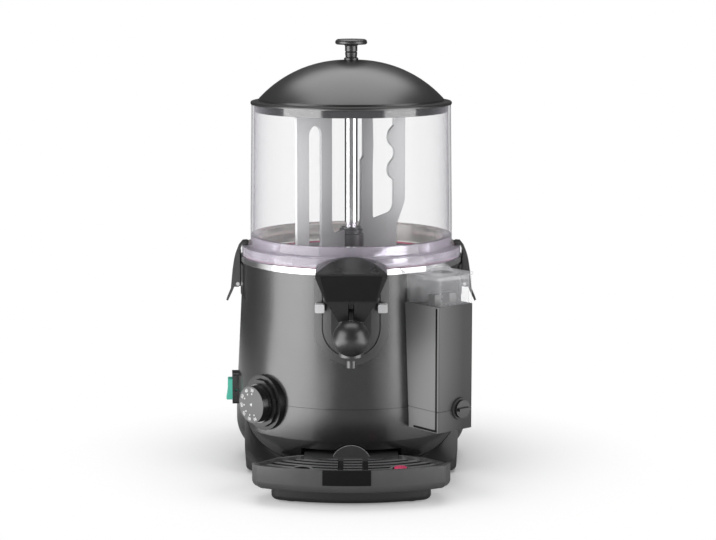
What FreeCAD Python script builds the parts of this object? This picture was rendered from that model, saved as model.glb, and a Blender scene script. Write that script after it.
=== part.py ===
import FreeCAD, Part
import os
import re
import Sketcher

# Counter-top hot chocolate dispenser.
#
# Every piece is drawn about the vessel axis: X to the right, -Y towards the
# person who is served, +Z up, Z = 0 on the counter. Each finished piece is then
# moved back by axis_offset, so the model's origin is the middle of its footprint.
# All sizes are millimetres and degrees, and all of them live in the sheet "dims".

V = FreeCAD.Vector

DIMENSIONS = {
    "general": [
        ("axis_offset", 45, "vessel axis behind the middle of the footprint"),
        ("wall", 3, "moulded casing wall"),
        ("sheet_wall", 1.2, "stainless sheet"),
        ("fit_gap", 0.3, "gap between neighbouring curved pieces"),
        ("casing_inside", 110, "radius from which outer pieces start before they are cut to the casing"),
    ],
    "casing": [
        ("casing_foot_radius", 101.6, "where the belly meets its flat bottom"),
        ("casing_foot_z", 8, "flat bottom of the belly"),
        ("belly_mid_radius", 120.8, "point on the rounded underside"),
        ("belly_mid_z", 21.9, "height of that point"),
        ("belly_radius", 128, "widest radius"),
        ("belly_z", 42, "height of the widest radius"),
        ("flank_radius", 127.9, "side between the belly and the parting line"),
        ("flank_z", 60, "height of that point"),
        ("parting_radius", 127.2, "casing radius at the parting line"),
        ("parting_z", 77, "parting line between the casing halves"),
        ("parting_gap", 0.6, "shadow gap between the casing halves"),
        ("shoulder_radius", 122.3, "radius where the leaning side starts to turn upright"),
        ("shoulder_z", 175, "height of that point"),
        ("neck_radius", 121.46, "middle of that slow turn"),
        ("neck_z", 197.5, "height of that point"),
        ("casing_top_radius", 121.2, "casing radius at its top edge"),
        ("casing_top_z", 220, "top edge of the casing"),
        ("rear_half_width", 117, "half width of the square rear"),
        ("rear_cover_y", 149, "inner face of the rear cover"),
        ("lip_inner_radius", 122.1, "inner face of the locating lip"),
        ("lip_outer_radius", 123.9, "outer face of the locating lip"),
        ("lip_half_height", 6, "lip above and below the parting line"),
        ("casing_mouth_radius", 112, "opening in the top for the tank"),
        ("vent_gap", 40, "between the two columns of vent slots"),
        ("vent_length", 60, "vent slot"),
        ("vent_height", 4, "vent slot"),
        ("vent_low_z", 125, "lowest vent slot"),
        ("vent_pitch", 10, "vent slot spacing"),
        ("vent_rows", 8, "vent slots in a column"),
        ("gland_x", -70, "cable gland from the middle plane"),
        ("gland_z", 96, "cable gland height"),
        ("gland_radius", 8, "neck of the cable gland"),
        ("gland_bore", 4.2, "bore for the supply lead"),
    ],
    "stand": [
        ("base_half_width", 114, "half width of the base at its bottom"),
        ("base_front_y", 97, "front of the base, ahead of the axis"),
        ("base_rear_y", 148, "rear of the base at its bottom"),
        ("base_corner", 14, "plan corner radius of the base"),
        ("base_low_z", 2, "underside of the base"),
        ("base_top_z", 70, "top of the base"),
        ("base_draft", 3.37, "side draft in degrees"),
        ("base_edge", 5, "rounding of the lower edge"),
        ("slope_low_z", 12, "foot of the sloping front"),
        ("slope_top_y", 36, "top of the sloping front, ahead of the axis"),
        ("plate_low_z", 3, "underside of the base plate"),
        ("plate_top_z", 4.2, "top of the base plate"),
        ("foot_radius", 9, "rubber foot"),
        ("foot_x", 92, "rubber foot from the middle plane"),
        ("foot_front_y", 74, "front pair ahead of the axis"),
        ("foot_rear_y", 126, "rear pair behind the axis"),
        ("toe_x", 60, "foot under the tray support, from the middle"),
        ("toe_y", 205, "foot under the tray support, ahead of the axis"),
        ("support_half_width", 82, "tray support"),
        ("support_top_z", 16, "top of the tray support"),
        ("support_front_y", 233, "front of the tray support at the middle"),
        ("support_corner_y", 218, "front of the tray support at its corners"),
        ("support_corner", 9, "corner rounding"),
        ("screw_radius", 3.4, "head of a casing screw"),
        ("screw_height", 2, "height of a casing screw head"),
        ("cover_screw_x", 104, "screws of the rear cover, from the middle plane"),
        ("cover_screw_low_z", 84, "lower pair of those screws"),
        ("cover_screw_top_z", 206, "upper pair of those screws"),
        ("plate_screw_x", 60, "screws of the base plate, from the middle plane"),
        ("plate_screw_front_y", 60, "front pair of those screws, ahead of the axis"),
        ("plate_screw_rear_y", 100, "rear pair of those screws, behind the axis"),
    ],
    "notch": [
        ("notch_half_width", 53.5, "recess in the belly for the tray"),
        ("notch_depth_y", 100, "back of the recess, ahead of the axis"),
        ("notch_top_z", 33, "top of the recess"),
        ("liner_wall", 2.5, "wall of the recess"),
    ],
    "vessel": [
        ("tank_radius", 110, "outside of the water tank"),
        ("tank_low_z", 104, "underside of the water tank"),
        ("tank_flange_radius", 121, "tank flange"),
        ("pan_radius", 103, "outside of the chocolate pan"),
        ("pan_low_z", 200, "underside of the chocolate pan"),
        ("band_radius", 122.5, "bright rim of the pan"),
        ("band_low_z", 221.4, "lower edge of the bright rim"),
        ("band_top_z", 226.6, "upper edge of the bright rim"),
        ("gasket_top_z", 228.4, "top of the bowl gasket"),
        ("bowl_top_z", 393, "rim of the bowl"),
        ("bowl_top_radius", 109.6, "outside of the bowl at its rim"),
        ("bowl_low_radius", 111.3, "outside of the bowl above its flange"),
        ("bowl_wall", 3, "bowl wall"),
        ("bowl_throat", 102, "inside of the bowl's foot ring"),
        ("bowl_ledge_z", 249, "ledge inside the bowl"),
        ("flange_radius", 120.8, "clear flange that the latches hold"),
        ("flange_lip_z", 237.8, "top of the flange lip"),
        ("flange_skirt", 3.5, "width of the skirt around the gasket"),
        ("bowl_bend_z", 270, "where the wall starts to lean in"),
        ("outlet_z", 209.5, "pan outlet"),
        ("outlet_radius", 8, "outside of the outlet pipe"),
        ("outlet_bore", 6.8, "inside of the outlet pipe"),
        ("element_ring", 72, "heating ring"),
        ("element_radius", 4, "heating rod"),
        ("element_z", 113, "heating ring height"),
        ("element_leg_x", 9, "heating ring leg from the middle"),
        ("element_leg_y", 71.4, "heating ring leg behind the axis"),
        ("element_leg_z", 94, "lower end of the legs"),
        ("jacket_radius", 115, "outside of the foam jacket"),
    ],
    "drive": [
        ("shaft_radius", 4, "drive shaft"),
        ("shaft_low_z", 72, "lower end of the shaft"),
        ("shaft_square", 2.8, "half width of the square end"),
        ("square_low_z", 214, "start of the square end"),
        ("square_top_z", 240, "top of the square end"),
        ("tube_radius", 11.5, "sleeve through the water"),
        ("tube_bore", 10, "inside of that sleeve"),
        ("seal_bore", 4.08, "lip of the shaft seal"),
        ("seal_radius", 8.1, "shaft seal in the pan"),
        ("seal_top_z", 203.5, "top of the shaft seal"),
        ("motor_radius", 34, "motor can"),
        ("motor_low_z", 18, "underside of the motor"),
        ("gearbox_radius", 40, "gearbox"),
        ("gearbox_low_z", 66, "underside of the gearbox"),
        ("gearbox_top_z", 90, "top of the gearbox"),
        ("gearbox_flange_radius", 60, "gearbox flange"),
        ("gearbox_flange_top_z", 93, "top of the gearbox flange"),
        ("post_circle", 52, "circle of the three posts"),
    ],
    "mixer": [
        ("hub_radius", 13.5, "mixer hub"),
        ("hub_low_z", 204.2, "underside of the hub"),
        ("hub_top_z", 257, "top of the hub"),
        ("rod_radius", 7.2, "polished column"),
        ("rod_top_z", 396, "top of the column"),
        ("blade_turn", 52, "blade plane, from the cross direction"),
        ("blade_thick", 3, "blade thickness"),
        ("blade_top_z", 387, "top of both blades"),
        ("blade_foot_z", 205, "lower edge of both blades"),
        ("blade_root_z", 262, "where the blades leave the hub"),
    ],
    "lid": [
        ("lid_lip_radius", 110.6, "lid lip"),
        ("lid_low_z", 385, "lower edge of the lid skirt"),
        ("lid_skirt_radius", 105.9, "outside of the skirt"),
        ("lid_skirt_inner", 103.4, "inside of the skirt"),
        ("lid_seat_z", 393.2, "underside of the lip"),
        ("dome_radius", 101.5, "foot of the dome"),
        ("dome_low_z", 399, "height of the dome's foot"),
        ("dome_mid_radius", 60, "point on the dome"),
        ("dome_mid_z", 429.2, "height of that point"),
        ("dome_top_z", 441, "top of the dome"),
        ("dome_wall", 2.5, "dome thickness"),
        ("knob_radius", 17.5, "mushroom knob"),
        ("knob_under_z", 457.5, "underside of the knob"),
        ("knob_top_z", 464, "top of the knob"),
        ("knob_stem", 6.8, "stem of the knob"),
    ],
    "tap": [
        ("pad_half_width", 39.5, "raised pad behind the tap"),
        ("pad_centre_z", 165.5, "centre of its round foot"),
        ("pad_top_z", 219, "top of the pad"),
        ("pad_front_y", 131, "front of the pad"),
        ("groove_outer", 31, "groove in the pad"),
        ("groove_inner", 29.4, "inside of the groove"),
        ("groove_depth", 1.6, "depth of the groove"),
        ("boss_radius", 21, "boss that carries the valve"),
        ("boss_centre_z", 164, "centre of its round foot"),
        ("boss_front_y", 141.5, "front of the boss"),
        ("valve_y", 158, "valve axis, ahead of the vessel axis"),
        ("valve_radius", 13, "valve housing"),
        ("valve_bore", 8, "bore for the piston"),
        ("valve_low_z", 141, "underside of the valve housing"),
        ("valve_floor_z", 145, "floor of the bore"),
        ("valve_top_z", 182, "top of the valve housing"),
        ("spout_radius", 5, "nozzle"),
        ("spout_bore", 3, "nozzle bore"),
        ("spout_low_z", 129, "end of the nozzle"),
        ("spout_block", 8, "half width of the block above the nozzle"),
        ("spout_block_z", 137, "underside of that block"),
        ("port_low_z", 158, "port from the channel into the bore"),
        ("port_top_z", 166, "top of that port"),
        ("pivot_y", 147, "lever pivot ahead of the axis"),
        ("pivot_z", 200, "lever pivot height"),
        ("pin_radius", 2, "lever pin"),
        ("pin_half", 15, "half length of the lever pin"),
        ("ear_inner", 9, "inner face of the pivot ears"),
        ("ear_outer", 14, "outer face of the pivot ears"),
        ("cover_front_y", 180, "front of the tap cover"),
        ("cover_back_y", 131.3, "back edge of the tap cover"),
        ("cover_roof_back_y", 124, "back edge of its roof"),
        ("cover_half_width", 37, "tap cover at its top"),
        ("cover_apex_z", 240.6, "highest point of the roof"),
        ("cover_shoulder_z", 230.8, "roof at the sides"),
        ("cover_side_z", 226.5, "where the sides start to lean in"),
        ("cover_waist", 26.5, "half width under the plate"),
        ("cover_waist_z", 202, "height of that width"),
        ("cover_toe", 13.4, "half width at the bottom"),
        ("cover_low_z", 181, "bottom of the cover"),
        ("cover_wall", 2.5, "cover wall"),
        ("cover_recess", 1.5, "recess of the lower face"),
        ("face_plate_half", 32, "half width of the bare plate at its top"),
        ("face_plate_foot", 25.4, "half width of the bare plate at its foot"),
        ("face_plate_top_z", 228.6, "top of the bare plate"),
        ("face_plate_thick", 0.8, "thickness of the bare plate"),
        ("clip_inner", 28.2, "inner end of a white clip"),
        ("clip_outer", 38.2, "outer end of a white clip"),
        ("clip_low_z", 183, "lower edge of the clips"),
        ("clip_top_z", 192, "upper edge of the clips"),
        ("slot_half", 3, "half width of the lever slot"),
        ("slot_low_z", 184, "bottom of the lever slot"),
        ("slot_top_z", 204.5, "top of the lever slot, behind the plate"),
        ("lever_half", 2.4, "half thickness of the lever arm"),
        ("tine_inner", 4, "inner face of the lever fork"),
        ("tine_outer", 7, "outer face of the lever fork"),
        ("tine_half", 2.5, "half height of the fork"),
        ("ball_radius", 19, "ball knob"),
        ("ball_y", 192.5, "ball ahead of the axis"),
        ("ball_z", 166.4, "ball height"),
        ("stem_radius", 3.5, "lever stem inside the ball"),
        ("stem_low_z", 171, "lower end of that stem"),
        ("stem_top_z", 182, "upper end of that stem"),
        ("piston_radius", 7.95, "piston"),
        ("plug_radius", 5, "plug that closes the nozzle"),
        ("plug_top_z", 169, "top of the plug"),
        ("piston_top_z", 179, "top of the piston"),
        ("piston_rod", 3, "piston rod"),
        ("collar_radius", 9, "collar above the fork"),
        ("collar_low_z", 203.2, "underside of the collar"),
        ("collar_top_z", 206, "top of the collar"),
        ("spigot_top_z", 219.5, "top of the spring guide"),
        ("spring_radius", 6, "spring, to the middle of its wire"),
        ("spring_wire", 0.6, "radius of the spring wire"),
        ("spring_pitch", 4.4, "spring pitch"),
        ("spring_low_z", 206.3, "lower end of the spring"),
        ("spring_tall", 20, "rise of the spring's helix"),
    ],
    "dial": [
        ("dial_azimuth", 313, "dial, turned from the front"),
        ("dial_z", 77, "dial axis"),
        ("collar_ring_radius", 30, "round collar on the casing"),
        ("collar_ring_y", 131.5, "front of the round collar"),
        ("facet_radius", 26, "faceted ring"),
        ("facet_y", 135, "front of the faceted ring"),
        ("dial_radius", 21, "dial skirt"),
        ("dial_face_radius", 19.8, "dial face"),
        ("dial_back_y", 135.4, "back of the dial"),
        ("dial_front_y", 147, "face of the dial"),
        ("spindle_radius", 3, "dial spindle"),
        ("spindle_bore", 3.08, "bush around the spindle"),
        ("spindle_end_y", 112, "inner end of the spindle"),
        ("thermostat_half", 18, "thermostat housing"),
        ("thermostat_back_y", 92, "back of the thermostat"),
        ("thermostat_front_y", 118, "front of the thermostat"),
    ],
    "power_switch": [
        ("switch_azimuth", 274, "switch, turned from the front"),
        ("switch_z", 78, "middle of the switch"),
        ("bezel_half_width", 12, "switch frame"),
        ("bezel_half_height", 17, "switch frame"),
        ("bezel_front_y", 133, "front of the switch frame"),
        ("rocker_half_width", 7.4, "rocker"),
        ("rocker_z", 76.5, "middle of the rocker"),
        ("rocker_half_height", 11.5, "rocker"),
        ("rocker_front_y", 139.7, "outermost edge of the rocker"),
        ("rocker_axis_y", 129, "rocker axis"),
    ],
    "filler": [
        ("filler_azimuth", 40, "water filler, turned from the front"),
        ("filler_half_width", 25, "water filler"),
        ("filler_front_y", 171.6, "front of the water filler"),
        ("filler_low_z", 56, "underside of the filler"),
        ("filler_split_z", 78, "joint in the filler"),
        ("window_low_z", 190, "lower edge of the clear window"),
        ("window_top_z", 221, "upper edge of the clear window"),
        ("window_wall", 2, "wall of the clear window"),
        ("filler_lid_top_z", 223.6, "top of the filler lid"),
        ("bump_radius", 12, "finger grip on the lid"),
        ("bump_height", 8.2, "height of that grip"),
        ("bump_y", 150, "grip ahead of the axis"),
        ("drain_x", 6.3, "drain from the filler's middle"),
        ("drain_z", 79, "drain height"),
        ("drain_ring", 11.6, "ring around the drain knob"),
        ("drain_ring_proud", 2.4, "that ring, proud of the box"),
        ("drain_knob", 9.6, "drain knob"),
        ("drain_spigot", 3, "spigot of the drain knob"),
        ("inlet_low_z", 184, "tray under the inlet posts"),
        ("inlet_top_z", 201, "top of the inlet posts"),
        ("link_z", 117, "pipe between the filler and the tank"),
        ("link_radius", 6, "outside of that pipe"),
        ("link_bore", 4.8, "inside of that pipe"),
    ],
    "latches": [
        ("latch_half", 13, "half width of a latch"),
        ("latch_pin_x", 125.4, "latch pivot from the axis"),
        ("latch_pin_z", 194.7, "latch pivot height"),
        ("latch_pin_radius", 2, "latch pin"),
        ("latch_bore", 2.06, "hole in the latch"),
        ("latch_nose", 3, "rounding of the bracket ear"),
        ("cheek_nose", 3.2, "latch cheeks below the pivot"),
        ("cheek_gap_x", 122.9, "inner edge of the latch cheeks"),
        ("cheek_inner", 9.9, "inner face of the latch cheeks"),
        ("bracket_half", 9.4, "half width of the bracket ear"),
        ("bracket_outer_radius", 122.8, "strap around the casing"),
        ("bracket_reach", 14, "strap, degrees each side"),
        ("bracket_low_z", 184, "lower edge of the strap"),
        ("bracket_top_z", 218, "upper edge of the strap"),
    ],
    "electrical": [
        ("terminal_x", -70, "middle of the terminal block"),
        ("terminal_y", 125, "terminal block behind the axis"),
        ("terminal_half", 18, "half length of the terminal block"),
        ("terminal_deep", 14, "depth of the terminal block"),
        ("terminal_tall", 12, "height of the terminal block"),
        ("terminal_pitch", 9.4, "spacing of its four ways"),
        ("terminal_way", 2.2, "radius of a way"),
        ("cutout_x", 64, "overheat switch"),
        ("cutout_y", 20, "overheat switch, ahead of the axis"),
        ("cutout_radius", 9, "overheat switch"),
        ("tag_gap", 3, "half the space between its two tags"),
        ("tag_width", 3, "width of a tag"),
    ],
    "tray": [
        ("tray_half_width", 101.5, "drip tray"),
        ("tray_low_z", 16, "underside of the tray"),
        ("tray_top_z", 41, "rim of the tray"),
        ("tray_waist_x", 54, "end of the straight rear edge"),
        ("tray_waist_y", 152, "straight rear edge"),
        ("tray_bend_x", 78, "bend in the slanting rear edge"),
        ("tray_bend_y", 163, "that bend, ahead of the axis"),
        ("tray_shoulder_y", 190, "rear end of the sides"),
        ("tray_side_y", 215, "front end of the sides"),
        ("tray_corner_x", 96, "inner end of the corner facet"),
        ("tray_corner_y", 226.5, "front of the corner facet"),
        ("tray_front_y", 249.2, "front of the tray at the middle"),
        ("tray_wall", 3.5, "tray wall"),
        ("tray_edge", 8, "rounding of the lower edge"),
        ("shelf_z", 27, "shelf that the grille rests on"),
        ("well_z", 20, "floor of the tray"),
        ("rim_fall_y", 212, "where the rim starts to fall to the rear"),
        ("rim_low_y", 192, "where it has fallen to the rear height"),
        ("rear_rim_z", 34, "rim along the slanting rear edges"),
        ("rear_wall_z", 28, "top of the tongue and of the gap in front of it"),
        ("tongue_half_width", 50, "tongue that enters the recess"),
        ("tongue_low_z", 18, "underside of the tongue"),
        ("tongue_end_y", 106, "inner end of the tongue"),
        ("arch_radius", 22, "arched tab at the rear"),
        ("arch_centre_z", 17.5, "centre of that arch"),
        ("arch_front_y", 131.6, "front of the arched tab"),
        ("arch_back_y", 129.4, "back of the arched tab"),
        ("plate_left_x", 29, "bare plate, left end"),
        ("plate_right_x", 20, "bare plate, right end"),
        ("plate_bottom_z", 25.4, "lower edge of the bare plate"),
        ("front_bow_radius", 214, "plan radius of the tray front"),
        ("grille_plate_z", 28.5, "top of the grille's lower plate"),
        ("grille_top_z", 31, "top of the grille's ribs"),
        ("rib_pitch", 11.5, "rib spacing"),
        ("rib_width", 5.2, "rib width"),
        ("rib_count", 8, "ribs"),
        ("rib_first", 206, "plan radius of the front rib"),
        ("float_x", 51, "float from the middle"),
        ("float_y", 198, "float ahead of the axis"),
        ("float_radius", 6.8, "float cap"),
        ("float_hole", 8.6, "hole for the float"),
        ("float_top_z", 33, "top of the float"),
    ],
}

doc = FreeCAD.newDocument("chocolate_dispenser")


def fill_sheet():
    """Put each driving dimension in the sheet, with its alias and its meaning."""
    sheet = doc.addObject("Spreadsheet::Sheet", "dims")
    row = 1
    for section, entries in DIMENSIONS.items():
        sheet.set(f"A{row}", section)
        row += 1
        for alias, value, meaning in entries:
            sheet.set(f"A{row}", alias)
            sheet.set(f"B{row}", str(value))
            sheet.setAlias(f"B{row}", alias)
            sheet.set(f"C{row}", meaning)
            row += 1
    doc.recompute()
    return sheet


dims = fill_sheet()
ALIASES = {alias for entries in DIMENSIONS.values() for alias, _, _ in entries}
nodes = []


def bound(formula):
    """A formula in aliases, written as the expression that the document stores."""
    return re.sub(
        r"[a-z_]\w*",
        lambda word: "dims." + word[0] if word[0] in ALIASES else word[0],
        str(formula),
    )


def number(formula):
    """The present value of a formula in aliases."""
    return float(dims.evalExpression(bound(formula)))


def point(place):
    return V(number(place[0]), number(place[1]), 0)


# --- Sketches -------------------------------------------------------------------------
# An outline is a list of corners (x, y), each a formula. Between two corners may stand
# (x, y, "via"): then the side is the arc through that point. ("circle", x, y, radius)
# is a circle.


def add_circle(sketch, circle, rules, formulas):
    _, x, y, radius = circle
    edge = sketch.addGeometry(
        Part.Circle(point((x, y)), V(0, 0, 1), number(radius)), False
    )
    rules += [
        Sketcher.Constraint("DistanceX", -1, 1, edge, 3, number(x)),
        Sketcher.Constraint("DistanceY", -1, 1, edge, 3, number(y)),
        Sketcher.Constraint("Radius", edge, number(radius)),
    ]
    formulas += [x, y, radius]


def add_side(sketch, start, via, end, rules, formulas):
    """One line or arc. Returns its number and which of its ends come first and last."""
    here = point(start)
    if via is None:
        edge = sketch.addGeometry(Part.LineSegment(here, point(end)), False)
        first, last = 1, 2
    else:
        edge = sketch.addGeometry(Part.Arc(here, point(via), point(end)), False)
        forward = sketch.getPoint(edge, 1).distanceToPoint(here) < 1e-6
        first, last = (1, 2) if forward else (2, 1)
        mark = sketch.addGeometry(Part.Point(point(via)), True)
        rules += [
            Sketcher.Constraint("PointOnObject", mark, 1, edge),
            Sketcher.Constraint("DistanceX", -1, 1, mark, 1, point(via).x),
            Sketcher.Constraint("DistanceY", -1, 1, mark, 1, point(via).y),
        ]
        formulas += [None, via[0], via[1]]
    rules += [
        Sketcher.Constraint("DistanceX", -1, 1, edge, first, here.x),
        Sketcher.Constraint("DistanceY", -1, 1, edge, first, here.y),
    ]
    formulas += [start[0], start[1]]
    return edge, first, last


def add_outline(sketch, outline, rules, formulas):
    corners = [i for i, place in enumerate(outline) if len(place) == 2]
    sides = []
    for order, i in enumerate(corners):
        j = corners[(order + 1) % len(corners)]
        between = outline[(i + 1) % len(outline)]
        via = between if len(between) == 3 else None
        sides.append(add_side(sketch, outline[i], via, outline[j], rules, formulas))
    for here, following in zip(sides, sides[1:] + sides[:1]):
        rules.append(
            Sketcher.Constraint("Coincident", here[0], here[2], following[0], following[1])
        )
        formulas.append(None)


def add_sketch(body, plane, outlines, height="0"):
    """A sketch on one of the body's own origin planes, tied to the sheet throughout.

    height moves it along the plane's normal: +Z on XY, -Y (forwards) on XZ, +X on YZ.
    """
    sketch = body.newObject("Sketcher::SketchObject", body.Name + "_outline")
    support = next(f for f in body.Origin.OriginFeatures if f.Role == plane + "_Plane")
    sketch.AttachmentSupport = [(support, "")]
    sketch.MapMode = "FlatFace"
    sketch.setExpression("AttachmentOffset.Base.z", bound(height))
    rules = []
    formulas = []
    for outline in outlines:
        if outline[0] == "circle":
            add_circle(sketch, outline, rules, formulas)
        else:
            add_outline(sketch, outline, rules, formulas)
    sketch.addConstraint(rules)
    for index, formula in enumerate(formulas):
        if formula is not None:
            sketch.setExpression(f"Constraints[{index}]", bound(formula))
    return sketch


def box_outline(x_low, x_high, y_low, y_high):
    return [(x_low, y_low), (x_high, y_low), (x_high, y_high), (x_low, y_high)]


def rounded_outline(x_low, x_high, y_low, y_high, radius):
    """A rectangle with round corners."""
    cut = f"({radius}) * (1 - sqrt(0.5))"
    return [
        (f"{x_low} + {radius}", y_low),
        (f"{x_high} - {radius}", y_low),
        (f"{x_high} - {cut}", f"{y_low} + {cut}", "via"),
        (x_high, f"{y_low} + {radius}"),
        (x_high, f"{y_high} - {radius}"),
        (f"{x_high} - {cut}", f"{y_high} - {cut}", "via"),
        (f"{x_high} - {radius}", y_high),
        (f"{x_low} + {radius}", y_high),
        (f"{x_low} + {cut}", f"{y_high} - {cut}", "via"),
        (x_low, f"{y_high} - {radius}"),
        (x_low, f"{y_low} + {radius}"),
        (f"{x_low} + {cut}", f"{y_low} + {cut}", "via"),
    ]


def u_outline(radius, centre, top):
    """A plate with a half-round lower end."""
    return [
        (f"-({radius})", top),
        (f"-({radius})", centre),
        ("0", f"{centre} - ({radius})", "via"),
        (radius, centre),
        (radius, top),
    ]


def sector_outline(centre_y, inner, outer, start, end):
    """A piece of a ring whose centre is on the middle plane. 0 degrees points forwards."""
    middle = f"(({start}) + ({end})) / 2"

    def place(radius, angle, *mark):
        across = f"({radius}) * sin({angle})"
        along = f"({centre_y}) - ({radius}) * cos({angle})"
        return (across, along, *mark)

    return [
        place(outer, start),
        place(outer, middle, "via"),
        place(outer, end),
        place(inner, end),
        place(inner, middle, "via"),
        place(inner, start),
    ]


# --- Features -------------------------------------------------------------------------


def new_body(label):
    body = doc.addObject("PartDesign::Body", label)
    body.Label = label
    return body


def material_volume(body):
    doc.recompute()
    return 0 if body.Shape.isNull() else body.Shape.Volume


def add_feature(body, kind, sketch, settings):
    """A feature on a sketch. It has to add material, or to remove it if it is a pocket."""
    before = material_volume(body)
    feature = body.newObject("PartDesign::" + kind, body.Name + "_" + kind.lower())
    feature.Profile = sketch
    for name, value in settings.items():
        if isinstance(value, str):
            feature.setExpression(name, bound(value))
        else:
            setattr(feature, name, value)
    body.Tip = feature
    if (material_volume(body) > before) == (kind == "Pocket"):
        raise RuntimeError(f"{body.Label}: {feature.Name} changed nothing, or the wrong way")
    return feature


def pad(body, plane, outlines, start, length, **settings):
    """Material from start, length along the plane's normal."""
    sketch = add_sketch(body, plane, outlines, start)
    return add_feature(body, "Pad", sketch, {"Length": length, **settings})


def pocket(body, plane, outlines, start, length):
    """Material removed from start, length along the plane's normal."""
    sketch = add_sketch(body, plane, outlines, start)
    return add_feature(body, "Pocket", sketch, {"Reversed": True, "Length": length})


def revolve(body, outlines):
    """A turned solid about the body's Z axis, drawn as radius and height."""
    sketch = add_sketch(body, "XZ", outlines)
    settings = {"ReferenceAxis": (sketch, ["V_Axis"]), "Angle": 360.0}
    return add_feature(body, "Revolution", sketch, settings)


def round_edges(body, chosen, radius):
    """Fillet the edges of the body's last feature that the test picks."""
    doc.recompute()
    base = body.Tip
    names = [
        f"Edge{i}" for i, edge in enumerate(base.Shape.Edges, 1) if chosen(edge.BoundBox)
    ]
    feature = body.newObject("PartDesign::Fillet", body.Name + "_fillet")
    feature.Base = (base, names)
    feature.setExpression("Radius", bound(radius))
    body.Tip = feature
    doc.recompute()
    return feature


def at_height(height):
    """A test that picks the edges lying flat at one height."""
    level = number(height)
    return lambda box: abs(box.ZMin - level) < 1e-4 and abs(box.ZMax - level) < 1e-4


def padded(label, plane, outlines, start, length):
    body = new_body(label)
    pad(body, plane, outlines, start, length)
    return body


def revolved(label, outlines):
    body = new_body(label)
    revolve(body, outlines)
    return body


def cut(label, base, *tools):
    """base less each tool in turn. The last result carries the label."""
    result = base
    for order, tool in enumerate(tools, 1):
        name = label if order == len(tools) else f"{label}_stage_{order}"
        piece = doc.addObject("Part::Cut", name)
        piece.Base = result
        piece.Tool = tool
        piece.Label = name
        result = piece
    return result


def joined(label, *pieces):
    result = doc.addObject("Part::MultiFuse", label)
    result.Shapes = list(pieces)
    result.Label = label
    return result


def common(label, first, second):
    shared = doc.addObject("Part::Common", label)
    shared.Base = first
    shared.Tool = second
    return shared


def group(label, *pieces):
    """Separate solids that share one node."""
    result = doc.addObject("Part::Compound", label)
    result.Links = list(pieces)
    result.Label = label
    return result


def cylinder(label, x, y, z, radius, height):
    """An upright cylinder on the point x, y, z."""
    piece = doc.addObject("Part::Cylinder", label)
    piece.setExpression("Radius", bound(radius))
    piece.setExpression("Height", bound(height))
    piece.setExpression("Placement.Base.x", bound(x))
    piece.setExpression("Placement.Base.y", bound(y))
    piece.setExpression("Placement.Base.z", bound(z))
    return piece


def turn(piece, azimuth):
    """Turn a piece drawn at the front to its own place around the vessel axis."""
    piece.Placement = FreeCAD.Placement(V(0, 0, 0), V(0, 0, 1), number(azimuth))
    piece.setExpression("Placement.Rotation.Angle", bound(azimuth))
    return piece


def keep(*pieces):
    """Finished pieces: they become the nodes, set back to the model's origin."""
    for piece in pieces:
        own_y = piece.Placement.Base.y
        piece.setExpression("Placement.Base.y", bound(f"axis_offset + {own_y}"))
        nodes.append(piece)


# --- Shapes that several pieces are fitted to ------------------------------------------


def casing_outline(grow):
    """Half section of the round casing, grown outwards by a margin."""
    return [
        ("0", f"casing_foot_z - ({grow})"),
        (f"casing_foot_radius + ({grow}) * 0.5", f"casing_foot_z - ({grow})"),
        (f"belly_mid_radius + ({grow}) * 0.8", f"belly_mid_z - ({grow}) * 0.6", "via"),
        (f"belly_radius + ({grow})", "belly_z"),
        (f"flank_radius + ({grow})", "flank_z", "via"),
        (f"parting_radius + ({grow})", "parting_z"),
        (f"shoulder_radius + ({grow})", "shoulder_z"),
        (f"neck_radius + ({grow})", "neck_z", "via"),
        (f"casing_top_radius + ({grow})", "casing_top_z"),
        ("0", "casing_top_z"),
    ]


def casing_envelope(label, grow):
    return revolved(label, [casing_outline(grow)])


def casing_column(label, radius, low, high):
    """A round column about the vessel axis, from low to high."""
    return cylinder(label, "0", "0", low, radius, f"{high} - ({low})")


casing_clearance = casing_envelope("casing_clearance", "fit_gap")
casing_contact = casing_envelope("casing_contact", "0.05")
casing_seat = casing_envelope("casing_seat", "wall")
band_clearance = revolved(
    "band_clearance",
    [box_outline("0", "band_radius + fit_gap", "casing_top_z - 1", "flange_lip_z + 20")],
)


def link_hole(label, grow):
    """The way through a wall for the pipe between the filler and the tank."""
    body = padded(label, "XZ", [("circle", "0", "link_z", f"link_radius + ({grow})")], "100", "40")
    return turn(body, "filler_azimuth")


# --- Stand -------------------------------------------------------------------------------


def slope_outline(inset):
    """The wedge that is cut from the base so that its front leans back."""
    return [
        (f"-(base_front_y + 8) + ({inset})", f"slope_low_z - ({inset})"),
        (f"-base_front_y + ({inset})", f"slope_low_z - ({inset})"),
        (f"-slope_top_y + ({inset})", f"base_top_z + 1 - ({inset}) * 0.4"),
        (f"-slope_top_y + ({inset})", "base_top_z + 2"),
        (f"-(base_front_y + 8) + ({inset})", "base_top_z + 2"),
    ]


def make_base_block():
    block = new_body("base_block")
    outline = rounded_outline(
        "-base_half_width", "base_half_width", "-base_front_y", "base_rear_y", "base_corner"
    )
    pad(
        block,
        "XY",
        [outline],
        "base_low_z",
        "base_top_z - base_low_z",
        TaperAngle="base_draft",
    )
    round_edges(block, at_height("base_low_z"), "base_edge")
    pocket(block, "YZ", [slope_outline("0")], "-base_half_width - 10", "2 * base_half_width + 20")
    return block


def make_base_void():
    """The hollow of the base, open below, that leaves its walls and the belly's seat."""
    void = new_body("base_void")
    outline = rounded_outline(
        "-base_half_width + wall",
        "base_half_width - wall",
        "-base_front_y + wall",
        "base_rear_y - wall",
        "base_corner - wall",
    )
    pad(void, "XY", [outline], "0", "base_top_z - wall")
    pocket(void, "YZ", [slope_outline("wall")], "-base_half_width", "2 * base_half_width")
    return cut("base_hollow", void, casing_seat)


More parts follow.
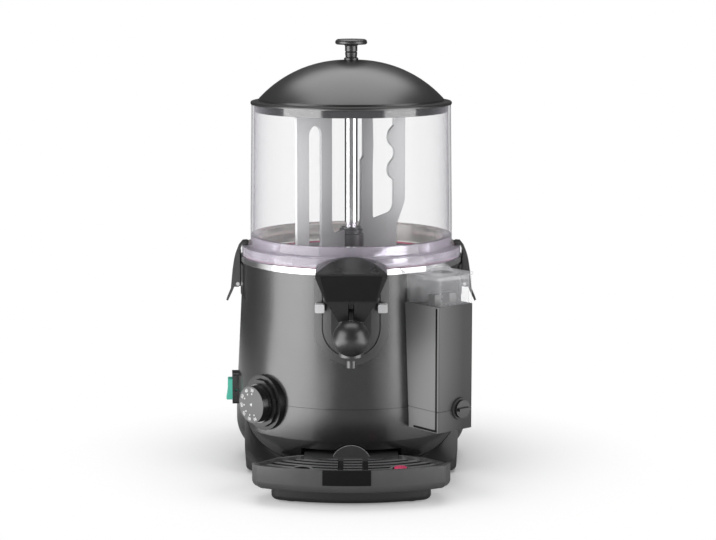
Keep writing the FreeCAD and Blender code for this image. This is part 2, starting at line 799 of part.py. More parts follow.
base_block = make_base_block()
base_moulding = cut("base_moulding", base_block, make_base_void(), casing_clearance)

base_plate = padded(
    "base_plate",
    "XY",
    [
        rounded_outline(
            "-base_half_width + wall",
            "base_half_width - wall",
            "-base_front_y + wall",
            "base_rear_y - wall",
            "base_corner - wall",
        )
    ],
    "plate_low_z",
    "plate_top_z - plate_low_z",
)


def make_rubber_feet():
    feet = [
        cylinder(f"base_foot_{i}", x, y, "0", "foot_radius", "plate_low_z")
        for i, (x, y) in enumerate(
            [
                ("-foot_x", "-foot_front_y"),
                ("foot_x", "-foot_front_y"),
                ("-foot_x", "foot_rear_y"),
                ("foot_x", "foot_rear_y"),
            ]
        )
    ]
    toes = [
        cylinder(f"support_foot_{i}", x, "-toe_y", "0", "foot_radius - 1", "base_low_z")
        for i, x in enumerate(["-toe_x", "toe_x"])
    ]
    return group("rubber_feet", *feet, *toes)


def support_outline(inset):
    """Plan of the tray support, from behind the base front to its bowed front."""
    side = f"support_half_width - ({inset})"
    corner = f"support_corner - ({inset})"
    bend = f"({corner}) * 0.3"
    return [
        (f"-({side})", "-base_front_y + 6"),
        (f"-({side})", f"-support_corner_y + ({inset}) + ({corner})"),
        (f"-({side}) + {bend}", f"-support_corner_y + ({inset}) + {bend}", "via"),
        (f"-({side}) + ({corner})", f"-support_corner_y + ({inset}) - 1.6"),
        ("0", f"-support_front_y + ({inset})", "via"),
        (f"{side} - ({corner})", f"-support_corner_y + ({inset}) - 1.6"),
        (f"{side} - {bend}", f"-support_corner_y + ({inset}) + {bend}", "via"),
        (side, f"-support_corner_y + ({inset}) + ({corner})"),
        (side, "-base_front_y + 6"),
    ]


def make_tray_support():
    block = new_body("support_block")
    pad(block, "XY", [support_outline("0")], "base_low_z", "support_top_z - base_low_z")
    round_edges(block, at_height("base_low_z"), "base_edge")
    pocket(
        block,
        "XY",
        [support_outline("wall + 1")],
        "base_low_z + wall + 1",
        "support_top_z - base_low_z - wall",
    )
    return cut("tray_support", block, base_block, casing_clearance)


keep(base_moulding, base_plate, make_rubber_feet(), make_tray_support())


# --- Casing ------------------------------------------------------------------------------


def lower_outline(grow, top):
    """The casing section up to the parting line."""
    return casing_outline(grow)[:5] + [
        (f"parting_radius + ({grow})", "parting_z"),
        (f"parting_radius + ({grow})", top),
        ("0", top),
    ]


def upper_outline(grow, bottom, top):
    """The casing section above the parting line."""
    return [
        ("0", bottom),
        (f"parting_radius + ({grow})", bottom),
        (f"shoulder_radius + ({grow})", "shoulder_z"),
        (f"neck_radius + ({grow})", "neck_z", "via"),
        (f"casing_top_radius + ({grow})", top),
        ("0", top),
    ]


def rear_outline(grow):
    return box_outline(
        f"-(rear_half_width + ({grow}))", f"rear_half_width + ({grow})", "0", "rear_cover_y"
    )


def notch_box(label, grow):
    """The recess at the foot of the belly, where the tray's tongue goes in."""
    return padded(
        label,
        "XY",
        [
            box_outline(
                f"-(notch_half_width + ({grow}))",
                f"notch_half_width + ({grow})",
                "-belly_radius - 5",
                f"-notch_depth_y + ({grow})",
            )
        ],
        "casing_foot_z - 2",
        f"notch_top_z + ({grow}) - casing_foot_z + 2",
    )


def switch_opening():
    body = padded(
        "switch_opening",
        "XZ",
        [
            box_outline(
                "-bezel_half_width + 1.5",
                "bezel_half_width - 1.5",
                "switch_z - bezel_half_height + 2",
                "switch_z + bezel_half_height - 2",
            )
        ],
        "90",
        "50",
    )
    return turn(body, "switch_azimuth")


def spindle_opening():
    body = padded("spindle_opening", "XZ", [("circle", "0", "dial_z", "5.4")], "90", "50")
    return turn(body, "dial_azimuth")


panel_openings = [switch_opening(), spindle_opening()]


def make_lower_shell():
    top = "parting_z - parting_gap / 2"
    block = new_body("lower_block")
    revolve(block, [lower_outline("0", top)])
    pad(block, "XY", [rear_outline("0")], "base_top_z", f"{top} - base_top_z")
    hollow = new_body("lower_hollow")
    revolve(hollow, [lower_outline("-wall", "parting_z + 5")])
    floor = "base_top_z + wall"
    pad(hollow, "XY", [rear_outline("-wall")], floor, f"parting_z + 5 - ({floor})")
    room = cut("lower_room", hollow, notch_box("notch_liner", "liner_wall"))
    return cut(
        "body_shell_lower",
        block,
        room,
        notch_box("notch_space", "0"),
        *panel_openings,
    )


def make_upper_shell():
    bottom = "parting_z + parting_gap / 2"
    shell = new_body("upper_block")
    revolve(shell, [upper_outline("0", bottom, "casing_top_z")])
    pad(shell, "XY", [rear_outline("0")], bottom, f"casing_top_z - ({bottom})")
    hollow = new_body("upper_hollow")
    revolve(hollow, [upper_outline("-wall", "parting_z - 5", "casing_top_z - wall")])
    pad(hollow, "XY", [rear_outline("-wall")], "parting_z - 5", "casing_top_z - wall - parting_z + 5")
    mouth = cylinder(
        "casing_mouth", "0", "0", "casing_top_z - 10", "casing_mouth_radius", "20"
    )
    pipe_hole = padded(
        "pipe_hole", "XZ", [("circle", "0", "outlet_z", "outlet_radius + 1.5")], "105", "30"
    )
    lip = revolved(
        "locating_lip",
        [
            [
                ("lip_inner_radius", "parting_z - lip_half_height"),
                ("lip_outer_radius", "parting_z - lip_half_height"),
                ("lip_outer_radius", "parting_z + parting_gap"),
                ("parting_radius - wall + 0.4", "parting_z + parting_gap"),
                ("parting_radius - wall + 0.4", "parting_z + lip_half_height"),
                ("lip_inner_radius", "parting_z + lip_half_height"),
            ]
        ],
    )
    ways = [mouth, pipe_hole, link_hole("shell_link_hole", "0.3"), *panel_openings]
    walls = cut("upper_walls", shell, hollow, *ways)
    return joined("body_shell_upper", walls, cut("lip_with_gaps", lip, *panel_openings))


def make_rear_cover():
    """The flat rear cover, with two columns of vent slots and the cable gland's hole."""
    cover = new_body("rear_cover")
    plate = rounded_outline(
        "-rear_half_width + 1", "rear_half_width - 1", "base_top_z + 2", "casing_top_z - 2", "8"
    )
    pad(cover, "XZ", [plate], "-(rear_cover_y + wall)", "wall")
    gland_hole = ("circle", "gland_x", "gland_z", "gland_radius + 0.2")
    pocket(cover, "XZ", [gland_hole], "-(rear_cover_y + wall + 1)", "wall + 2")
    slots = [
        rounded_outline(left, f"{left} + vent_length", "vent_low_z", "vent_low_z + vent_height", "1.9")
        for left in ("-vent_gap / 2 - vent_length", "vent_gap / 2")
    ]
    row = pocket(cover, "XZ", slots, "-(rear_cover_y + wall + 1)", "wall + 2")
    rows = cover.newObject("PartDesign::LinearPattern", "vent_rows")
    rows.Originals = [row]
    rows.Direction = (row.Profile[0], ["V_Axis"])
    rows.setExpression("Length", bound("vent_pitch * (vent_rows - 1)"))
    rows.setExpression("Occurrences", bound("vent_rows"))
    cover.Tip = rows
    return cover


def make_cable_gland():
    """The strain relief nut in the rear cover, with its bore for a supply lead."""
    gland = new_body("cable_gland")
    neck = ("circle", "gland_x", "gland_z", "gland_radius")
    pad(gland, "XZ", [neck], "-(rear_cover_y + wall)", "wall + 8")
    nut = ("circle", "gland_x", "gland_z", "gland_radius + 3")
    pad(gland, "XZ", [nut], "-(rear_cover_y + wall + 8)", "8")
    bore = ("circle", "gland_x", "gland_z", "gland_bore")
    pocket(gland, "XZ", [bore], "-(rear_cover_y + wall + 9)", "wall + 20")
    return gland


def make_casing_screws():
    heads = []
    for side in ("", "-"):
        for end, z in (("low", "cover_screw_low_z"), ("top", "cover_screw_top_z")):
            outline = [("circle", f"{side}cover_screw_x", z, "screw_radius")]
            start = "-(rear_cover_y + wall + screw_height)"
            heads.append(padded(f"cover_screw_{end}", "XZ", outline, start, "screw_height"))
        for end, y in (("front", "-plate_screw_front_y"), ("rear", "plate_screw_rear_y")):
            head = ("plate_low_z - screw_height", "screw_radius", "screw_height")
            heads.append(cylinder(f"plate_screw_{end}", f"{side}plate_screw_x", y, *head))
    return group("casing_screws", *heads)


keep(
    make_lower_shell(),
    make_upper_shell(),
    make_rear_cover(),
    make_cable_gland(),
    make_casing_screws(),
)


# --- Vessel ------------------------------------------------------------------------------


def make_water_tank():
    tank = new_body("tank_block")
    revolve(
        tank,
        [
            [
                ("tube_radius + 0.2", "tank_low_z"),
                ("tank_radius", "tank_low_z"),
                ("tank_radius", "casing_top_z"),
                ("tank_flange_radius", "casing_top_z"),
                ("tank_flange_radius", "casing_top_z + sheet_wall"),
                ("tank_radius - sheet_wall", "casing_top_z + sheet_wall"),
                ("tank_radius - sheet_wall", "tank_low_z + sheet_wall"),
                ("tube_radius + 0.2", "tank_low_z + sheet_wall"),
            ]
        ],
    )
    pocket(tank, "XZ", [("circle", "0", "outlet_z", "outlet_radius + 0.2")], "90", "30")
    legs = [
        ("circle", x, "element_leg_y", "element_radius + 0.2")
        for x in ("-element_leg_x", "element_leg_x")
    ]
    pocket(tank, "XY", legs, "tank_low_z - 1", "4")
    return cut("water_tank", tank, link_hole("tank_link_hole", "0.1"))


def make_product_pan():
    pan = new_body("product_pan")
    revolve(
        pan,
        [
            [
                ("seal_radius + 0.1", "pan_low_z"),
                ("pan_radius", "pan_low_z"),
                ("pan_radius", "band_top_z - sheet_wall"),
                ("band_radius - sheet_wall", "band_top_z - sheet_wall"),
                ("band_radius - sheet_wall", "band_low_z"),
                ("band_radius", "band_low_z"),
                ("band_radius", "band_top_z"),
                ("pan_radius - sheet_wall", "band_top_z"),
                ("pan_radius - sheet_wall", "pan_low_z + sheet_wall"),
                ("seal_radius + 0.1", "pan_low_z + sheet_wall"),
            ]
        ],
    )
    pocket(pan, "XZ", [("circle", "0", "outlet_z", "outlet_bore")], "90", "20")
    return pan


def ring(label, inner, outer, low, high):
    return revolved(label, [box_outline(inner, outer, low, high)])


def make_heating_element():
    element = doc.addObject("Part::Torus", "element_torus")
    element.setExpression("Radius1", bound("element_ring"))
    element.setExpression("Radius2", bound("element_radius"))
    element.setExpression("Placement.Base.z", bound("element_z"))
    legs = [
        cylinder(
            f"element_leg_{i}",
            x,
            "element_leg_y",
            "element_leg_z",
            "element_radius",
            "element_z - element_leg_z",
        )
        for i, x in enumerate(["-element_leg_x", "element_leg_x"])
    ]
    return joined("heating_element", element, *legs)


def make_insulation():
    jacket = ring(
        "jacket_block",
        "tank_radius + fit_gap",
        "jacket_radius",
        "tank_low_z + 3",
        "casing_top_z - wall - 3",
    )
    pocket(jacket, "XZ", [("circle", "0", "outlet_z", "outlet_radius + 1")], "90", "40")
    return cut("insulation_jacket", jacket, link_hole("jacket_link_hole", "1"))


def make_outlet_pipe():
    pipe = new_body("outlet_pipe")
    rings = [
        ("circle", "0", "outlet_z", "outlet_radius"),
        ("circle", "0", "outlet_z", "outlet_bore"),
    ]
    pad(pipe, "XZ", rings, "pan_radius + 0.1", "pad_front_y - 2.2 - pan_radius")
    return pipe


def make_shaft_seal():
    return revolved(
        "shaft_seal",
        [
            [
                ("seal_bore", "pan_low_z - 4"),
                ("seal_radius", "pan_low_z - 4"),
                ("seal_radius", "pan_low_z + sheet_wall"),
                ("seal_radius + 4", "pan_low_z + sheet_wall"),
                ("seal_radius + 4", "seal_top_z"),
                ("seal_bore", "seal_top_z"),
            ]
        ],
    )


def make_bowl():
    return revolved(
        "bowl",
        [
            [
                ("bowl_throat", "gasket_top_z"),
                ("flange_radius - flange_skirt", "gasket_top_z"),
                ("flange_radius - flange_skirt", "band_top_z + 0.2"),
                ("flange_radius - 0.8", "band_top_z + 0.2"),
                ("flange_radius", "band_top_z + 1"),
                ("flange_radius", "flange_lip_z - 1.2"),
                ("flange_radius - 1.2", "flange_lip_z"),
                ("bowl_low_radius + 2.2", "flange_lip_z"),
                ("bowl_low_radius + 0.6", "flange_lip_z + 0.7", "via"),
                ("bowl_low_radius", "flange_lip_z + 2.4"),
                ("bowl_low_radius - 0.1", "bowl_bend_z"),
                ("bowl_top_radius", "bowl_top_z - 13"),
                ("bowl_top_radius", "bowl_top_z"),
                ("bowl_top_radius - bowl_wall", "bowl_top_z"),
                ("bowl_top_radius - bowl_wall", "bowl_top_z - 13"),
                ("bowl_low_radius - bowl_wall - 0.1", "bowl_bend_z"),
                ("bowl_low_radius - bowl_wall", "bowl_ledge_z + 4"),
                ("bowl_throat", "bowl_ledge_z"),
            ]
        ],
    )


keep(
    make_water_tank(),
    make_product_pan(),
    ring(
        "tank_gasket",
        "pan_radius + 1",
        "tank_flange_radius - 2",
        "casing_top_z + sheet_wall",
        "band_top_z - sheet_wall",
    ),
    ring(
        "bowl_gasket",
        "bowl_throat + 1.5",
        "flange_radius - flange_skirt - 0.2",
        "band_top_z",
        "gasket_top_z",
    ),
    make_heating_element(),
    make_insulation(),
    make_outlet_pipe(),
    ring("shaft_tube", "tube_bore", "tube_radius", "tank_low_z", "pan_low_z"),
    make_shaft_seal(),
    make_bowl(),
)


# --- Drive -------------------------------------------------------------------------------

POST_ANGLES = (30, 150, 270)


def make_gearbox():
    gearbox = new_body("gearbox_housing")
    box = ("circle", "0", "0", "gearbox_radius")
    pad(gearbox, "XY", [box], "gearbox_low_z", "gearbox_top_z - gearbox_low_z")
    pad(
        gearbox,
        "XY",
        [("circle", "0", "0", "gearbox_flange_radius")],
        "gearbox_top_z",
        "gearbox_flange_top_z - gearbox_top_z",
    )
    posts = [
        ("circle", f"post_circle * cos({angle})", f"post_circle * sin({angle})", "4.5")
        for angle in POST_ANGLES
    ]
    for post in posts:
        pad(gearbox, "XY", [post], "gearbox_flange_top_z", "tank_low_z - gearbox_flange_top_z")
    pocket(
        gearbox,
        "XY",
        [("circle", "0", "0", "shaft_radius + 0.08")],
        "shaft_low_z - 2",
        "gearbox_flange_top_z - shaft_low_z + 4",
    )
    return gearbox


def make_motor():
    motor = new_body("gear_motor")
    can = ("circle", "0", "0", "motor_radius")
    pad(motor, "XY", [can], "motor_low_z", "gearbox_low_z - motor_low_z")
    pad(motor, "XY", [("circle", "0", "0", "motor_radius * 0.4")], "motor_low_z - 4", "4")
    return motor


def make_drive_shaft():
    shaft = new_body("drive_shaft")
    pad(shaft, "XY", [("circle", "0", "0", "shaft_radius")], "shaft_low_z", "square_low_z - shaft_low_z")
    square = box_outline("-shaft_square", "shaft_square", "-shaft_square", "shaft_square")
    pad(shaft, "XY", [square], "square_low_z", "square_top_z - square_low_z")
    return shaft


keep(make_gearbox(), make_motor(), make_drive_shaft())


# --- Mixer -------------------------------------------------------------------------------


def make_hub():
    hub = new_body("mixer_hub")
    revolve(
        hub,
        [
            [
                ("0", "hub_low_z"),
                ("hub_radius", "hub_low_z"),
                ("hub_radius", "hub_top_z - 8"),
                ("hub_radius - 1.5", "hub_top_z - 7"),
                ("hub_radius - 1.5", "hub_top_z - 5"),
                ("hub_radius - 0.5", "hub_top_z - 4.4"),
                ("hub_radius - 0.5", "hub_top_z - 2.6"),
                ("hub_radius - 2.5", "hub_top_z - 2"),
                ("hub_radius - 2.5", "hub_top_z"),
                ("0", "hub_top_z"),
            ]
        ],
    )
    square = box_outline(
        "-shaft_square - 0.1", "shaft_square + 0.1", "-shaft_square - 0.1", "shaft_square + 0.1"
    )
    pocket(hub, "XY", [square], "square_low_z - 1", "square_top_z - square_low_z + 2")
    mouth = ("circle", "0", "0", "shaft_radius + 0.2")
    pocket(hub, "XY", [mouth], "hub_low_z - 1", "square_low_z - hub_low_z + 1")
    return hub


def make_rod():
    return revolved(
        "mixer_rod",
        [
            [
                ("0", "hub_top_z"),
                ("rod_radius", "hub_top_z"),
                ("rod_radius", "rod_top_z - 3"),
                ("rod_radius - 0.9", "rod_top_z - 0.9", "via"),
                ("rod_radius - 3", "rod_top_z"),
                ("0", "rod_top_z"),
            ]
        ],
    )


def blade(label, outline, *windows):
    """A flat blade drawn in its own plane: distance from the axis, and height."""
    body = new_body(label)
    pad(body, "XZ", [outline, *windows], "-blade_thick / 2", "blade_thick")
    return turn(body, "blade_turn")


def make_left_blade():
    """The front-left wing: two upright bars with a long slot between them."""
    outline = [
        ("-hub_radius", "blade_foot_z"),
        ("-88", "blade_foot_z"),
        ("-93.4", "207.2", "via"),
        ("-95.6", "212.6"),
        ("-95.6", "blade_top_z - 6"),
        ("-93.9", "blade_top_z - 1.7", "via"),
        ("-89.6", "blade_top_z"),
        ("-41.8", "blade_top_z"),
        ("-37.5", "blade_top_z - 1.7", "via"),
        ("-35.8", "blade_top_z - 6"),
        ("-35.8", "blade_root_z - 1"),
        ("-33.4", "blade_root_z - 6.5", "via"),
        ("-28", "blade_root_z - 9"),
        ("-hub_radius", "blade_root_z - 7"),
    ]
    slot = [
        ("-75.4", "245.5"),
        ("-64.6", "234.7", "via"),
        ("-53.8", "245.5"),
        ("-53.8", "361.9"),
        ("-64.6", "372.7", "via"),
        ("-75.4", "361.9"),
    ]
    return blade("mixer_blade_left", outline, slot)


def make_right_blade():
    """The rear-right wing: a wide window whose outer bar carries two bumps."""
    outline = [
        ("hub_radius", "blade_foot_z"),
        ("74", "blade_foot_z"),
        ("80", "207.6", "via"),
        ("82", "214"),
        ("82", "251"),
        ("97.8", "277.6"),
        ("97.8", "blade_top_z - 6"),
        ("96.1", "blade_top_z - 1.7", "via"),
        ("91.8", "blade_top_z"),
        ("27", "blade_top_z"),
        ("22.7", "blade_top_z - 1.7", "via"),
        ("21", "blade_top_z - 6"),
        ("21", "337"),
        ("19.9", "332.6", "via"),
        ("16.8", "330"),
        ("16.8", "264"),
        ("hub_radius", "blade_root_z - 7"),
    ]
    window = [
        ("41.5", "262.6"),
        ("66", "266"),
        ("74.5", "270.4", "via"),
        ("77", "280"),
        ("77", "303"),
        ("70.4", "306.8"),
        ("66.4", "315", "via"),
        ("70.4", "323.2"),
        ("77", "328"),
        ("78.4", "333.5", "via"),
        ("77", "339"),
        ("70.4", "343.8"),
        ("66.4", "352", "via"),
        ("70.4", "360.2"),
        ("77", "364.6"),
        ("77", "375"),
        ("75.8", "379.2", "via"),
        ("72", "381"),
        ("43", "381"),
        ("38.9", "379.3", "via"),
        ("37.3", "375"),
        ("38.4", "345"),
        ("37.3", "322"),
        ("37.3", "267"),
        ("38.4", "263.8", "via"),
    ]
    return blade("mixer_blade_right", outline, window)


keep(make_hub(), make_rod(), make_left_blade(), make_right_blade())


# --- Lid ---------------------------------------------------------------------------------


def make_lid():
    return revolved(
        "lid",
        [
            [
                ("lid_skirt_inner", "lid_low_z"),
                ("lid_skirt_radius", "lid_low_z"),
                ("lid_skirt_radius", "lid_seat_z"),
                ("lid_lip_radius - 0.3", "lid_seat_z"),
                ("lid_lip_radius", "lid_seat_z + 1.4", "via"),
                ("lid_lip_radius - 0.6", "lid_seat_z + 2.8"),
                ("dome_radius + 0.8", "lid_seat_z + 3.6"),
                ("dome_radius", "dome_low_z"),
                ("dome_mid_radius", "dome_mid_z", "via"),
                ("3.2", "dome_top_z"),
                ("3.2", "dome_top_z - dome_wall"),
                ("dome_mid_radius - 1.1", "dome_mid_z - dome_wall + 0.2", "via"),
                ("dome_radius - 1.7", "dome_low_z - 1.9"),
                ("lid_skirt_inner", "lid_seat_z + 0.8"),
            ]
        ],
    )


def make_lid_knob():
    return revolved(
        "lid_knob",
        [
            [
                ("0", "dome_top_z - dome_wall - 4"),
                ("3", "dome_top_z - dome_wall - 4"),
                ("3", "dome_top_z + 0.06"),
                ("knob_stem + 1", "dome_top_z + 0.06"),
                ("knob_stem + 1", "dome_top_z + 2"),
                ("knob_stem - 0.6", "dome_top_z + 3"),
                ("knob_stem", "dome_top_z + 8"),
                ("knob_stem - 0.9", "dome_top_z + 8.8"),
                ("knob_stem", "dome_top_z + 9.6"),
                ("knob_stem", "knob_under_z - 1.2"),
                ("knob_stem + 1.2", "knob_under_z"),
                ("knob_radius - 2.2", "knob_under_z + 0.4"),
                ("knob_radius - 0.3", "knob_under_z + 1.4", "via"),
                ("knob_radius", "knob_under_z + 3"),
                ("knob_radius - 0.9", "knob_top_z - 1.4", "via"),
                ("knob_radius - 3.4", "knob_top_z - 0.3"),
                ("0", "knob_top_z"),
            ]
        ],
    )


keep(make_lid(), make_lid_knob())


# --- Tap ---------------------------------------------------------------------------------


def across(label, outlines, half):
    """A solid drawn in side view, centred on the middle plane."""
    return padded(label, "YZ", outlines, f"-({half})", f"2 * ({half})")


def make_tap_pad():
    """The raised pad: it follows the curve of the casing and has a groove near its edge."""
    deep = "pad_front_y - 100"
    slab_outline = u_outline("pad_half_width", "pad_centre_z", "pad_top_z")
    slab = padded("tap_pad_slab", "XZ", [slab_outline], "casing_inside", deep)
    front = casing_column("tap_pad_front", "pad_front_y", "100", "240")
    groove = [
        ("-groove_outer", "pad_top_z + 1"),
        ("-groove_outer", "pad_centre_z"),
        ("0", "pad_centre_z - groove_outer", "via"),
        ("groove_outer", "pad_centre_z"),
        ("groove_outer", "pad_top_z + 1"),
        ("groove_inner", "pad_top_z + 1"),
        ("groove_inner", "pad_centre_z"),
        ("0", "pad_centre_z - groove_inner", "via"),
        ("-groove_inner", "pad_centre_z"),
        ("-groove_inner", "pad_top_z + 1"),
    ]
    floor = casing_column("groove_floor", "pad_front_y - groove_depth", "100", "240")
    groove_slab = padded("groove_slab", "XZ", [groove], "casing_inside", deep)
    groove_room = cut("groove_room", groove_slab, floor)
    return cut("tap_pad", common("tap_pad_curved", slab, front), groove_room)


def make_tap_body():
    block = new_body("tap_block")
    boss = u_outline("boss_radius", "boss_centre_z", "pad_top_z")
    pad(block, "XZ", [boss], "pad_front_y - 6", "boss_front_y - pad_front_y + 6")
    pad(
        block,
        "XY",
        [("circle", "0", "-valve_y", "valve_radius")],
        "valve_low_z",
        "valve_top_z - valve_low_z",
    )
    bridge = box_outline("-valve_radius + 2", "valve_radius - 2", "-valve_y", "-boss_front_y + 2")
    pad(block, "XY", [bridge], "valve_low_z + 3", "valve_top_z - valve_low_z - 3")
    ear = [
        ("-pivot_y - 5", "pivot_z - 6"),
        ("-pivot_y - 5", "pivot_z + 5"),
        ("-boss_front_y + 1", "pivot_z + 8"),
        ("-boss_front_y + 1", "pivot_z - 9"),
    ]
    for start in ("-ear_outer", "ear_inner"):
        pad(block, "YZ", [ear], start, "ear_outer - ear_inner")
    spout = box_outline("-spout_block", "spout_block", "-valve_y - 7", "-valve_y + 7")
    pad(block, "XY", [spout], "spout_block_z", "valve_low_z - spout_block_z")
    pad(
        block,
        "XY",
        [("circle", "0", "-valve_y", "spout_radius")],
        "spout_low_z",
        "spout_block_z - spout_low_z",
    )
    pocket(
        block,
        "XY",
        [("circle", "0", "-valve_y", "valve_bore")],
        "valve_floor_z",
        "valve_top_z - valve_floor_z + 1",
    )
    pocket(
        block,
        "XY",
        [("circle", "0", "-valve_y", "spout_bore")],
        "spout_low_z - 1",
        "valve_floor_z - spout_low_z + 2",
    )
    port = box_outline("-4", "4", "-valve_y + valve_bore - 1", "-boss_front_y + 4")
    pocket(block, "XY", [port], "port_low_z", "port_top_z - port_low_z")
    for start in ("-ear_outer - 1", "ear_inner - 1"):
        pocket(
            block,
            "YZ",
            [("circle", "-pivot_y", "pivot_z", "pin_radius + 0.02")],
            start,
            "ear_outer - ear_inner + 2",
        )
    channel = padded(
        "tap_channel",
        "XY",
        [box_outline("-6", "6", "-boss_front_y + 3", "-pad_front_y + 4")],
        "port_low_z",
        "outlet_z - port_low_z + 6",
    )
    outlet_room = padded(
        "outlet_room",
        "XZ",
        [("circle", "0", "outlet_z", "outlet_radius + 0.1")],
        "casing_inside",
        "pad_front_y - 2 - casing_inside",
    )
    solid = joined("tap_solid", make_tap_pad(), block)
    return cut("tap_body", solid, channel, outlet_room, casing_contact)


def cover_outline(inset):
    """Front view of the tap cover, drawn in by a wall thickness."""
    return [
        (f"-(cover_half_width - ({inset}))", "cover_side_z"),
        (f"-(cover_half_width - ({inset}))", f"cover_shoulder_z - ({inset})"),
        ("0", f"cover_apex_z - ({inset})", "via"),
        (f"cover_half_width - ({inset})", f"cover_shoulder_z - ({inset})"),
        (f"cover_half_width - ({inset})", "cover_side_z"),
        (f"cover_waist - ({inset})", "cover_waist_z"),
        (f"cover_toe - ({inset}) * 0.6", f"cover_low_z + ({inset})"),
        (f"-(cover_toe - ({inset}) * 0.6)", f"cover_low_z + ({inset})"),
        (f"-(cover_waist - ({inset}))", "cover_waist_z"),
    ]


def make_tap_cover():
    shell = new_body("cover_block")
    rear = "cover_roof_back_y - 6"
    pad(shell, "XZ", [cover_outline("0")], rear, f"cover_front_y - ({rear})")
    roof = [
        ("-cover_half_width", "casing_top_z + 1"),
        ("-cover_half_width", "cover_shoulder_z"),
        ("0", "cover_apex_z", "via"),
        ("cover_half_width", "cover_shoulder_z"),
        ("cover_half_width", "casing_top_z + 1"),
    ]
    pad(shell, "XZ", [roof], rear, f"cover_back_y - ({rear})")
    wedge = [
        ("-cover_front_y - 1", "cover_shoulder_z - 0.2"),
        ("-cover_front_y - 1", "cover_apex_z + 6"),
        ("-cover_roof_back_y", "cover_apex_z + 6"),
        ("-cover_roof_back_y", "cover_apex_z + 0.5"),
    ]
    pocket(shell, "YZ", [wedge], "-cover_half_width - 1", "2 * cover_half_width + 2")
    lower_face = box_outline(
        "-cover_half_width", "cover_half_width", "cover_low_z - 1", "cover_waist_z"
    )
    pocket(shell, "XZ", [lower_face], "cover_front_y - cover_recess", "cover_recess + 1")
    inside = [
        ("-(cover_half_width - cover_wall)", "cover_side_z"),
        ("-(cover_half_width - cover_wall)", "cover_shoulder_z - cover_wall - 0.5"),
        ("cover_half_width - cover_wall", "cover_shoulder_z - cover_wall - 0.5"),
        ("cover_half_width - cover_wall", "cover_side_z"),
        ("cover_waist - cover_wall", "cover_waist_z"),
        ("cover_toe - cover_wall * 0.6", "cover_low_z + cover_wall"),
        ("-(cover_toe - cover_wall * 0.6)", "cover_low_z + cover_wall"),
        ("-(cover_waist - cover_wall)", "cover_waist_z"),
    ]
    pocket(shell, "XZ", [inside], "100", "cover_front_y - cover_recess - cover_wall - 100")
    slot = box_outline("-slot_half", "slot_half", "slot_low_z", "slot_top_z")
    pocket(shell, "XZ", [slot], "cover_front_y - 12", "14")
    boss_room = padded(
        "boss_room",
        "XZ",
        [u_outline("boss_radius + fit_gap", "boss_centre_z", "pad_top_z + fit_gap")],
        "casing_inside",
        "boss_front_y + fit_gap - casing_inside",
    )
    valve_room = cylinder(
        "valve_room",
        "0",
        "-valve_y",
        "valve_low_z",
        "valve_radius + fit_gap",
        "cover_low_z + cover_wall + 1 - valve_low_z",
    )
    bridge_room = padded(
        "bridge_room",
        "XY",
        [box_outline("-valve_radius + 1.6", "valve_radius - 1.6", "-valve_y", "-boss_front_y + 2")],
        "valve_low_z",
        "valve_top_z + fit_gap - valve_low_z",
    )
    pad_room = casing_column("pad_room", "pad_front_y + fit_gap", "100", "casing_top_z + 1")
    rooms = [boss_room, valve_room, bridge_room, pad_room, band_clearance]
    return cut("tap_cover", shell, *rooms)


def make_tap_plate():
    """The bare plate on the tap cover."""
    return padded(
        "tap_plate",
        "XZ",
        [
            [
                ("-face_plate_half", "face_plate_top_z"),
                ("face_plate_half", "face_plate_top_z"),
                ("face_plate_foot", "cover_waist_z + 0.5"),
                ("-face_plate_foot", "cover_waist_z + 0.5"),
            ]
        ],
        "cover_front_y",
        "face_plate_thick",
    )


def make_tap_clips():
    """The two white lugs of the clip that holds the tap to its pad."""
    face = casing_column("clip_rear", "pad_front_y + 0.05", "170", "210")
    sides = [("-clip_outer", "-clip_inner"), ("clip_inner", "clip_outer")]
    lugs = []
    for i, (low, high) in enumerate(sides):
        outline = rounded_outline(low, high, "clip_low_z", "clip_top_z", "1.5")
        start, deep = "casing_inside", "pad_front_y + 6 - casing_inside"
        block = padded(f"clip_block_{i}", "XZ", [outline], start, deep)
        lugs.append(cut(f"clip_lug_{i}", block, face))
    return group("tap_clips", *lugs)


